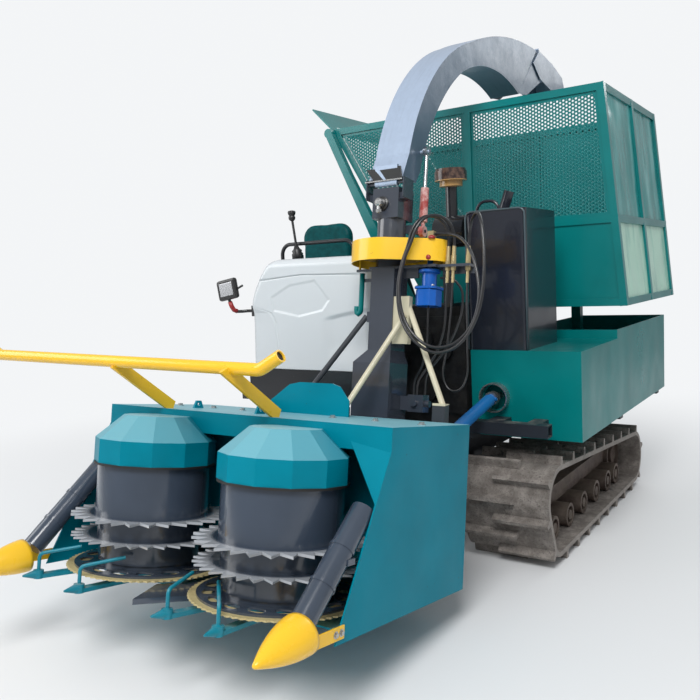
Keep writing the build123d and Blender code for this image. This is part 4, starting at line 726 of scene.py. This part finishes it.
def bolts(name, places, body, radius, height):
    """places is a list of (point in metres, facing)."""
    mesh = plain_mesh(name, [point for point, _ in places])
    facing = mesh.attributes.new("facing", "FLOAT_VECTOR", "POINT")
    for item, (_, way) in zip(facing.data, places):
        item.vector = Vector(way).normalized()
    return BOLTS.grow(name, mesh, body, Radius=radius, Height=height)


ACROSS_TO_CORNER = 1 / math.sqrt(3)        # a hexagon's corner radius, for a width of 1 across its flats


def hole_tree():
    """A sheet of touching hexagonal cells with a hole in each, upright, one cell on each point."""
    g = Growth("holed sheet", "teal bin paint", Pitch=0.02, Hole=0.006, Thickness=0.003)
    ring = g.node("GeometryNodeMeshCircle", {"Vertices": 6, "Radius": g.given("Hole")})
    wide = g.node("GeometryNodeExtrudeMesh", {"Mesh": ring, "Offset Scale": 0.0}, mode="EDGES")
    outer = g.node("GeometryNodeInputIndex") > 5.5
    factor = g.given("Pitch") * ACROSS_TO_CORNER / g.given("Hole")
    spot = g.node("GeometryNodeInputPosition")
    grown = g.node("ShaderNodeVectorMath", {0: spot, "Scale": factor}, operation="SCALE")
    flat = g.node("GeometryNodeSetPosition", {"Geometry": wide, "Selection": outer, "Position": grown})
    thick = g.node("GeometryNodeExtrudeMesh", {
        "Mesh": flat, "Offset": (0, 0, 1), "Offset Scale": g.given("Thickness"), "Individual": False},
        mode="FACES")
    low = g.node("GeometryNodeFlipFaces", {"Mesh": flat})
    cell = g.node("GeometryNodeMergeByDistance", {"Geometry": g.join(thick, low), "Distance": 0.00005})
    g.end(cell, g.node("FunctionNodeEulerToRotation", {"Euler": (math.pi / 2, 0, 0)}))
    return g


HOLES = hole_tree()


# Bin: a holed sheet with a plain border in the upper front, a plain sheet in the upper rear, two panels each.
SIDE_WALLS = {"left": (-150, -838), "right": (1036, 923)}        # x at the foot and at the top
WALL_FOOT, WALL_RISE = 1206, 1193
SHEET_LOW, SHEET_HIGH = 1696, 2359
POSTS = {"left": 48, "middle": (110, 150), "right": 40}
FRONT_SHEET, BORDER_THICK, CELL_THICK = 793, 4, 3
REAR_SHEET = 1974, 1978
PITCH, HOLE, BORDER, CELL_INSIDE = 20, 6.6, 17, 4.5


def wall_x(side, z):
    """Where the bin's side wall stands at a height."""
    low, high = SIDE_WALLS[side]
    return low + (high - low) * (z - WALL_FOOT) / WALL_RISE


def end_panel(left, right):
    """A panel's corners (x, z), counter-clockwise from low left; each side gives its x at a height."""
    return [(left(SHEET_LOW), SHEET_LOW), (right(SHEET_LOW), SHEET_LOW), (right(SHEET_HIGH), SHEET_HIGH),
            (left(SHEET_HIGH), SHEET_HIGH)]


END_PANELS = [end_panel(lambda z: wall_x("left", z) + POSTS["left"], lambda z: POSTS["middle"][0]),
              end_panel(lambda z: POSTS["middle"][1], lambda z: wall_x("right", z) - POSTS["right"])]


def inside_by(corners, x, z):
    """How far a point lies inside each side of an outline, in its own units; negative outside."""
    return [((bx - ax) * (z - az) - (bz - az) * (x - ax)) / math.hypot(bx - ax, bz - az)
            for (ax, az), (bx, bz) in zip(corners, corners[1:] + corners[:1])]


def shrunk(corners, by):
    """The outline moved in by a distance: each corner goes to where the two moved sides meet."""
    out = []
    for (px, pz), (x, z), (nx, nz) in zip(corners[-1:] + corners[:-1], corners, corners[1:] + corners[:1]):
        a, b = Vector((x - px, z - pz)).normalized(), Vector((nx - x, nz - z)).normalized()
        side = Vector((-a.y, a.x)) + Vector((-b.y, b.x))
        move = side * by / (1 + a.dot(b))
        out.append((x + move.x, z + move.y))
    return out


def holed_front():
    """The cells of both panels with every second column half a step up, then the borders over their edges."""
    cells = []
    for corners in END_PANELS:
        left, right = min(x for x, _ in corners), max(x for x, _ in corners)
        column = PITCH * math.sqrt(3) / 2
        for i in range(int((right - left) / column) + 1):
            x = left + i * column
            for j in range(math.ceil((SHEET_HIGH - SHEET_LOW) / PITCH)):
                z = SHEET_LOW + (j + 0.5 * (i % 2)) * PITCH
                if min(inside_by(corners, x, z)) > CELL_INSIDE:
                    cells.append(at(x, FRONT_SHEET + (BORDER_THICK + CELL_THICK) / 2, z))
    mesh = plain_mesh("front_holed_sheet", cells)
    HOLES.grow("front_holed_sheet", mesh, "bin", "bin_mesh", Pitch=PITCH / 1000, Hole=HOLE / 1000,
               Thickness=CELL_THICK / 1000)
    borders = []
    for outer in END_PANELS:
        inner, far = shrunk(outer, BORDER), FRONT_SHEET + BORDER_THICK
        loops = (outer, FRONT_SHEET), (inner, FRONT_SHEET), (inner, far), (outer, far)
        points = [at(x, depth, z) for outline, depth in loops for x, z in outline]
        borders.append((points, walls(4, 4, around=True)))
    piece("front_holed_sheet_border", *joined(*borders), "teal bin paint", "bin", "bin_mesh")


holed_front()
rear = joined(*(sheet(corners, *REAR_SHEET, thin=1) for corners in END_PANELS))
piece("rear_plain_sheet", *rear, "teal bin paint", "bin", "bin_mesh")


# Cowl: one moulded shell with a rounded rim, a capped seam, a shallow six-sided panel and creases.
COWL_EDGE = [(-815, 940), (20, 940), (20, 1500), (-30, 1540), (-640, 1544), (-700, 1490), (-790, 1330)]
COWL_ROUND = [6, 45, 45, 45, 45, 45, 45]
COWL_PANEL = [(-619, 1259), (-440, 1225), (-278, 1255), (-222, 1317), (-319, 1430), (-496, 1409),
              (-634, 1342)]
COWL_SEAM = [(-722, 1433), (-410, 1455), (-76, 1446)]
LEFT_CREASE = [(940, -588), (1038, -593), (1198, -602), (1254, -634), (1281, -729), (1310, -860)]    # (z, x)
LOW_CREASE = [(-400, 1203), (-260, 1229), (-131, 1253), (20, 1276)]
COWL_MIDDLE, COWL_FRONT, DEEPEST = (-390, 1235), -200, 78
COWL_SIDES, COWL_RINGS = 420, 118
COWL_BACK = [(0, -80), (0, 58), (-2, 60), (-13, 60), (-14, 58), (-14, -150)]    # (outwards, y) of each loop


def soft_step(low, high, value):
    t = min(max((value - low) / (high - low), 0.0), 1.0)
    return t * t * (3 - 2 * t)


def bead(away, width):
    """1 on a line, falling off to both sides of it."""
    return math.exp(-(away / width) ** 2)


def cowl_rim(x, z):
    """(how far round the rim a point is, 1 at the edge, and the rim's radius there)."""
    turns = [max(1 - away / radius, 0.0) ** 2 for away, radius in zip(inside_by(COWL_EDGE, x, z), COWL_ROUND)]
    total = sum(turns)
    radius = sum(turn * radius for turn, radius in zip(turns, COWL_ROUND)) / total if total else 0.0
    return math.sqrt(total), radius


def along(line, x):
    """The second coordinate of a line of points where its first one is x; the end pieces run on straight."""
    for (ax, az), (bx, bz) in zip(line, line[1:]):
        if x <= bx or (bx, bz) == line[-1]:
            return az + (bz - az) * (x - ax) / (bx - ax)


def cowl_depth(x, z):
    """How far back the moulded face lies behind the cowl's front plane."""
    over_seam = z - along(COWL_SEAM, x)
    depth = 5 * soft_step(1.5, -1.5, over_seam) + 5 * bead(over_seam, 2.6)
    depth += 4.5 * soft_step(0, 17, min(inside_by(COWL_PANEL, x, z)))
    left_of = along(LEFT_CREASE, z) - x
    depth += 0.13 * max(left_of, 0.0) + 4.5 * bead(left_of, 9)
    under = along(LOW_CREASE, x) - z
    depth += 11 * soft_step(-4, 26, under) * soft_step(-300, -200, x) * soft_step(960, 1090, z)
    return depth


def from_middle(way, far):
    return [middle + part * far for middle, part in zip(COWL_MIDDLE, way)]


def cowl_rays():
    """Directions from the cowl's middle, each with the distance at which it meets the edge."""
    rays = []
    for a in angles(COWL_SIDES):
        way = (math.cos(a), math.sin(a))
        near, far = 0.0, 700.0
        for _ in range(24):
            half = (near + far) / 2
            inside = cowl_rim(*from_middle(way, half))[0] < 1
            near, far = (half, far) if inside else (near, half)
        rays.append((way, near))
    return rays


def make_cowl():
    rays = cowl_rays()
    points = [at(COWL_MIDDLE[0], COWL_FRONT + cowl_depth(*COWL_MIDDLE), COWL_MIDDLE[1])]
    for j in range(1, COWL_RINGS + 1):
        for way, reach in rays:
            x, z = from_middle(way, reach * j / COWL_RINGS)
            turn, radius = cowl_rim(x, z)
            back = radius * (1 - math.sqrt(max(1 - min(turn, 1.0) ** 2, 0.0)))
            points.append(at(x, COWL_FRONT + min(back + cowl_depth(x, z), DEEPEST), z))
    for shift, y in COWL_BACK:
        for way, reach in rays:
            x, z = from_middle(way, reach + shift)
            points.append(at(x, y, z))
    loops = COWL_RINGS + len(COWL_BACK)
    faces = fan(0, 1, COWL_SIDES) + walls(COWL_SIDES, loops, first=1)
    faces.append(tuple(1 + (loops - 1) * COWL_SIDES + k for k in range(COWL_SIDES)))
    piece("cowl_shell", points, faces, "white shell", "carrier", "cowl", smooth=True)


make_cowl()


# Seat: a cushion and a backrest, each a stuffed pad.
PAD_GAP, PAD_RIM, PAD_GRAIN = 0.012, 0.016, 0.006    # metres: kept off the CAD box, edge's round, cell
FRAMES, PRESSURE = 20, 4
FURTHEST, SIDEWAYS = 0.024, 0.12    # the largest move in metres, and what is kept of a move along the pad


def swell(item, thin, lowest, highest):
    """Air pressure swells the pad as cloth, mostly across its thin side and never past its CAD box."""
    start = [v.co.copy() for v in item.data.vertices]
    cloth = item.modifiers.new("swell", "CLOTH")
    cloth.settings.use_pressure, cloth.settings.uniform_pressure_force = True, PRESSURE
    cloth.settings.effector_weights.gravity = 0
    cloth.point_cache.frame_start, cloth.point_cache.frame_end = 1, FRAMES
    for step in range(1, FRAMES + 1):
        SCENE.frame_set(step)
    swollen = settled(item)
    item.modifiers.remove(cloth)
    item.data = swollen
    for vertex, origin in zip(swollen.vertices, start):
        move = vertex.co - origin
        move = Vector([part if axis == thin else part * SIDEWAYS for axis, part in enumerate(move)])
        if move.length > FURTHEST:
            move *= FURTHEST / move.length
        vertex.co = Vector([min(max(c, a), b) for c, a, b in zip(origin + move, lowest, highest)])
    SCENE.frame_set(1)


def pad(name, low, high, corner, node, upright):
    """A rounded block in its CAD box; an upright one is rounded at its top corners only."""
    lowest, highest = at(*low), at(*high)
    thin = 1 if upright else 2
    shape = bmesh.new()
    bmesh.ops.create_cube(shape, size=1)
    middle, size = (lowest + highest) / 2, highest - lowest
    bmesh.ops.scale(shape, verts=shape.verts, vec=[s - PAD_GAP for s in size])
    bmesh.ops.translate(shape, verts=shape.verts, vec=middle)
    edges = [e for e in shape.edges if abs((e.verts[0].co - e.verts[1].co).normalized()[thin]) > 0.9
             and (not upright or min(v.co.z for v in e.verts) > middle.z)]
    round_edges(shape, corner / 1000, 8, edges=edges)
    round_edges(shape, PAD_RIM, 3, angle=0.9)
    mesh = bpy.data.meshes.new(name)
    shape.to_mesh(mesh)
    shape.free()
    item = bpy.data.objects.new(name, mesh)
    SCENE.collection.objects.link(item)
    even = item.modifiers.new("even", "REMESH")
    even.mode, even.voxel_size = "VOXEL", PAD_GRAIN
    item.data = settled(item)
    item.modifiers.remove(even)
    swell(item, thin, lowest, highest)
    for face in item.data.polygons:
        face.use_smooth = True
    take(item, "seat vinyl", "carrier", node)


pad("seat_cushion_pad", (-885, 130, 1300.3), (-515, 450, 1390), 55, "seat_cushion", upright=False)
pad("seat_back_pad", (-885, 450.5, 1300.5), (-515, 516, 1770), 85, "seat_back", upright=True)


# Mirror and lever.
HEAD_AT, HEAD_TURN = (-926, -212, 1392), Matrix.Rotation(math.radians(-9), 3, "Y")
for name, low, high, finish, bevel in (
        ("mirror_housing", (-74, -14, -59), (74, 14, 59), "dark moulding", 0.026),
        ("mirror_front", (-50, -17, -36), (50, -13, 38), "mirror", 0.0019),
        ("mirror_glass", (-58, 12, -44), (58, 16, 44), "mirror", 0.0019)):
    points, faces = block(low, high, put=lambda x, y, z: Vector((x, y, z)) / 1000)
    piece(name, [at(*HEAD_AT) + HEAD_TURN @ p for p in points], faces, finish, "carrier", bevel=bevel)


def bent_bar(radius, *places):
    return swept([at(*place) for place in places], radius)


arm = bent_bar(0.009, (-928, -208, 1345), (-922, -202, 1312), (-912, -190, 1276), (-902, -176, 1264),
               (-880, -150, 1263), (-860, -133, 1264), (-836, -130, 1264), (-790, -130, 1264))
foot = block((-812, -150, 1234), (-790, -110, 1294))
piece("mirror_arm", *joined(arm, foot), "dark moulding", "carrier", "mirror")
for name, shape, finish in (
        ("mirror_sleeve", bent_bar(0.013, (-924, -204, 1322), (-918, -197, 1294), (-911, -188, 1274),
                                   (-900, -173, 1265)), "red moulding"),
        ("mirror_handle", bent_bar(0.006, (-862, -212, 1392), (-838, -212, 1402), (-812, -214, 1412)),
         "dark moulding"),
        ("lever_grip", turned(at(-661, 77, 1772), (0, 0, 1), [
            (0, 0.009), (0.018, 0.011), (0.034, 0.021), (0.046, 0.0235), (0.053, 0.020), (0.056, 0.008)]),
         "dark moulding"),
        ("lever_boot", turned(at(-632, 77, 1556), (-0.13, 0, 1), [
            (0, 0.034), (0.012, 0.03), (0.02, 0.034), (0.03, 0.026), (0.04, 0.03), (0.052, 0.018),
            (0.07, 0.011)]), "dark moulding")):
    piece(name, *shape, finish, "carrier", smooth=True)


# Column top: slotted plates at the spout's foot, side plates at its mouth, the fitting on the box below it.
FOOT_NEAR, FOOT_FAR = 1008, 1016
FOOT_PLATES = [
    [(104, 1838), (148, 1838), (204, 1778), (150, 1778)],
    [(172, 1838), (292, 1838), (302, 1778), (218, 1778)],
]
foot_plates = joined(*(sheet(corners, FOOT_NEAR, FOOT_FAR, 1, on_header) for corners in FOOT_PLATES))
piece("spout_foot_plates", *foot_plates, "dark moulding", "spout", bevel=0.001)
strip = block((104, 1002, 1772), (305, 1022, 1779), on_header)
piece("spout_foot_strip", *strip, "plated steel", "spout", bevel=0.001)
MOUTH_THICK = 2.5
MOUTH = [(1194, 2510), (1330, 2522), (1570, 2640), (1570, 2700), (1500, 2800)]
for side, x in (("left", 112), ("right", 294.5)):
    piece("spout_mouth_" + side, *sheet(MOUTH, x, x + MOUTH_THICK, 0), "rolled zinc", "spout")

FITTING_X, PIPE_U = 200, 982
fitting = on_header(FITTING_X, 1014, 1668)
forward = on_header(FITTING_X, 1000, 1668) - fitting
base = turned(fitting, forward, [(0, 0.034), (0.008, 0.034), (0.012, 0.026), (0.02, 0.026), (0.024, 0.018)])
piece("fitting_base", *base, "dark moulding", "turret")
stem = turned(fitting, forward, [(0.018, 0.016), (0.03, 0.021), (0.042, 0.019), (0.05, 0.01)], 24)
elbow = swept([fitting + forward.normalized() * 0.032, on_header(FITTING_X, PIPE_U, 1640),
               on_header(FITTING_X, PIPE_U, 1618)], 0.009)
nut = turned(on_header(FITTING_X, PIPE_U, 1636), (0, 0, -1), [(0, 0.015), (0.014, 0.015)], 6)
piece("fitting_body", *joined(stem, elbow, nut), "plated steel", "turret")


# Turning motor: a narrow neck under the arm, an eight-sided body below it; the hook beside the column.
MOTOR_X, MOTOR_U, MOTOR_BOLT = 430, 1085, 41


def motor_block(half, cut, low, high):
    """A square block with cut corners about the motor's axis."""
    side = half - cut
    outline = [(half, side), (side, half), (-side, half), (-half, side), (-half, -side), (-side, -half),
               (side, -half), (half, -side)]
    return sheet([(MOTOR_X + x, MOTOR_U + u) for x, u in outline], low, high, 2, on_header)


def on_motor(w, profile, sides):
    return turned(on_header(MOTOR_X, MOTOR_U, w), UP_HEADER, profile, sides)


piece("motor_body", *motor_block(52, 22, 1186, 1262), "motor blue", "header", "slew_motor", bevel=0.003)
piece("motor_flange", *motor_block(54, 14, 1264, 1276), "motor blue", "header", "slew_motor", bevel=0.002)
neck = on_motor(1276, [(0, 0.034), (0.06, 0.034), (0.066, 0.05), (0.078, 0.05)], 40)
shaft = on_motor(1350, [(0, 0.0135), (0.08, 0.0135)], 20)
piece("motor_neck", *joined(neck, shaft), "motor blue", "header", "slew_motor")
bolts("motor_bolts", [(on_header(MOTOR_X + i, MOTOR_U + j, 1276.5), UP_HEADER)
                      for i in (-MOTOR_BOLT, MOTOR_BOLT) for j in (-MOTOR_BOLT, MOTOR_BOLT)],
      "header", radius=0.006, height=0.005)
HOOK_U, HOOK_RADIUS = 1074, 0.0125
HOOK = [(68, 1352), (68, 1300), (68, 1250), (68, 1200), (68, 1176), (64, 1162), (55, 1154), (46, 1160),
        (43, 1176), (43, 1192)]
hook = swept([on_header(x, HOOK_U, w) for x, w in HOOK], HOOK_RADIUS)
piece("hook", *hook, "teal body paint", "header", smooth=True)


# Snouts: smooth pointed shells with a bolted strap, one at each end of the header.
SNOUT_SIDES, SNOUT_STEPS = 40, 18
SNOUT_TIP, SNOUT_WIDER, SNOUT_CURVE = 8, 64, 1.75    # radius at the tip, more at the foot, how it grows
SNOUT_FLAT = 0.82        # the lower half's height, as part of the upper one's
STRAP_OUTER, STRAP_INNER = 748, 742


def snout(side):
    """A round-bellied cone that is flatter below its middle line."""
    foot, tip = on_header(side * 700, -130, 55), on_header(side * 712, -346, 27)
    way = (tip - foot).normalized()
    over = (on_header(0, 0, 1) - on_header(0, 0, 0)).normalized()
    across = way.cross(over).normalized()
    over = across.cross(way)
    points = [foot + way * -0.001]
    for j in range(SNOUT_STEPS + 1):
        t = j / SNOUT_STEPS
        middle, reach = foot.lerp(tip, t), (SNOUT_TIP + SNOUT_WIDER * (1 - t ** SNOUT_CURVE)) / 1000
        for a in angles(SNOUT_SIDES):
            low = SNOUT_FLAT if math.sin(a) < 0 else 1.0
            points.append(middle + (across * math.cos(a) + over * math.sin(a) * low) * reach)
    points.append(tip + way * 0.003)
    last = len(points) - 1
    return points, (fan(0, 1, SNOUT_SIDES) + walls(SNOUT_SIDES, SNOUT_STEPS + 1, first=1)
                    + fan(last, last - SNOUT_SIDES, SNOUT_SIDES))


for side, name in ((-1, "left"), (1, "right")):
    shell = piece("snout_" + name, *snout(side), "bright yellow", "header", "snouts", smooth=True)
    for face in shell.data.polygons[:SNOUT_SIDES]:
        face.use_smooth = False
    outer, inner = side * STRAP_OUTER, side * STRAP_INNER
    strap = block((min(outer, inner), -150, 18), (max(outer, inner), 40, 60), on_header)
    piece("snout_strap_" + name, *strap, "bright yellow", "header", "snouts", bevel=0.001)
    bolts("snout_bolts_" + name, [(on_header(outer, u, 39), (side, 0, 0)) for u in (-8, 22)], "header",
          radius=0.008, height=0.006)
bolts("header_bolts", [(on_header(x, 610, 671), UP_HEADER) for x in (-640, -420, -240, 260, 470, 680)],
      "header", radius=0.011, height=0.009)
top_cap = turned(on_header(472, 1010, 1484), UP_HEADER, [
    (0, 0.016), (0.008, 0.016), (0.014, 0.011), (0.017, 0.004)], 24)
front_cap = turned(on_header(462, 1008, 1400), on_header(462, 900, 1400) - on_header(462, 1000, 1400), [
    (0, 0.011), (0.008, 0.011), (0.012, 0.006)], 24)
piece("guard_caps", *joined(top_cap, front_cap), "red moulding", "header", smooth=True)


# Rings, ends and edges.
def ring(middle, way, outer, inner, length, sides=48):
    """A flat-ended ring in metres, standing along way from its middle."""
    points, _ = turned(middle, way, [(0, outer), (length, outer), (length, inner), (0, inner)], sides)
    return points, walls(sides, 4, around=True)


for side, name in ((-1, "left"), (1, "right")):
    # Painted shade: a thin black ring under each hood's rim, for the dark line in the gap between hood and
    # drum.
    rim_shade = ring(on_header(side * ROTOR_X, ROTOR_U, 447), UP_HEADER, 0.2425, 0.2345, 0.009, 96)
    piece("hood_rim_painted_shade_" + name, *rim_shade, "seal black", "header")
bar_end = on_header(400, 70, 896)
bar_way = bar_end - on_header(315, 70, 848)
piece("bar_mouth", *ring(bar_end, bar_way, 0.024, 0.0185, 0.008), "bright yellow", "header")
# Painted shade: a black disc closes the bar's mouth, for the dark inside of the bore.
piece("bar_bore_painted_shade", *turned(bar_end, bar_way, [(0, 0.0188), (0.001, 0.0188)]), "seal black", "header")
EDGE_Y, EDGE_RADIUS = 109, 0.0045
EDGE = [(416, 1034), (416, 1690), (419, 1708), (428, 1720), (444, 1726), (700, 1726), (716, 1720),
        (725, 1708), (727, 1690), (727, 1034)]
edge = swept([at(x, EDGE_Y, z) for x, z in EDGE], EDGE_RADIUS, 8)
piece("cabinet_edge", *edge, "cabinet trim", "carrier", smooth=True)
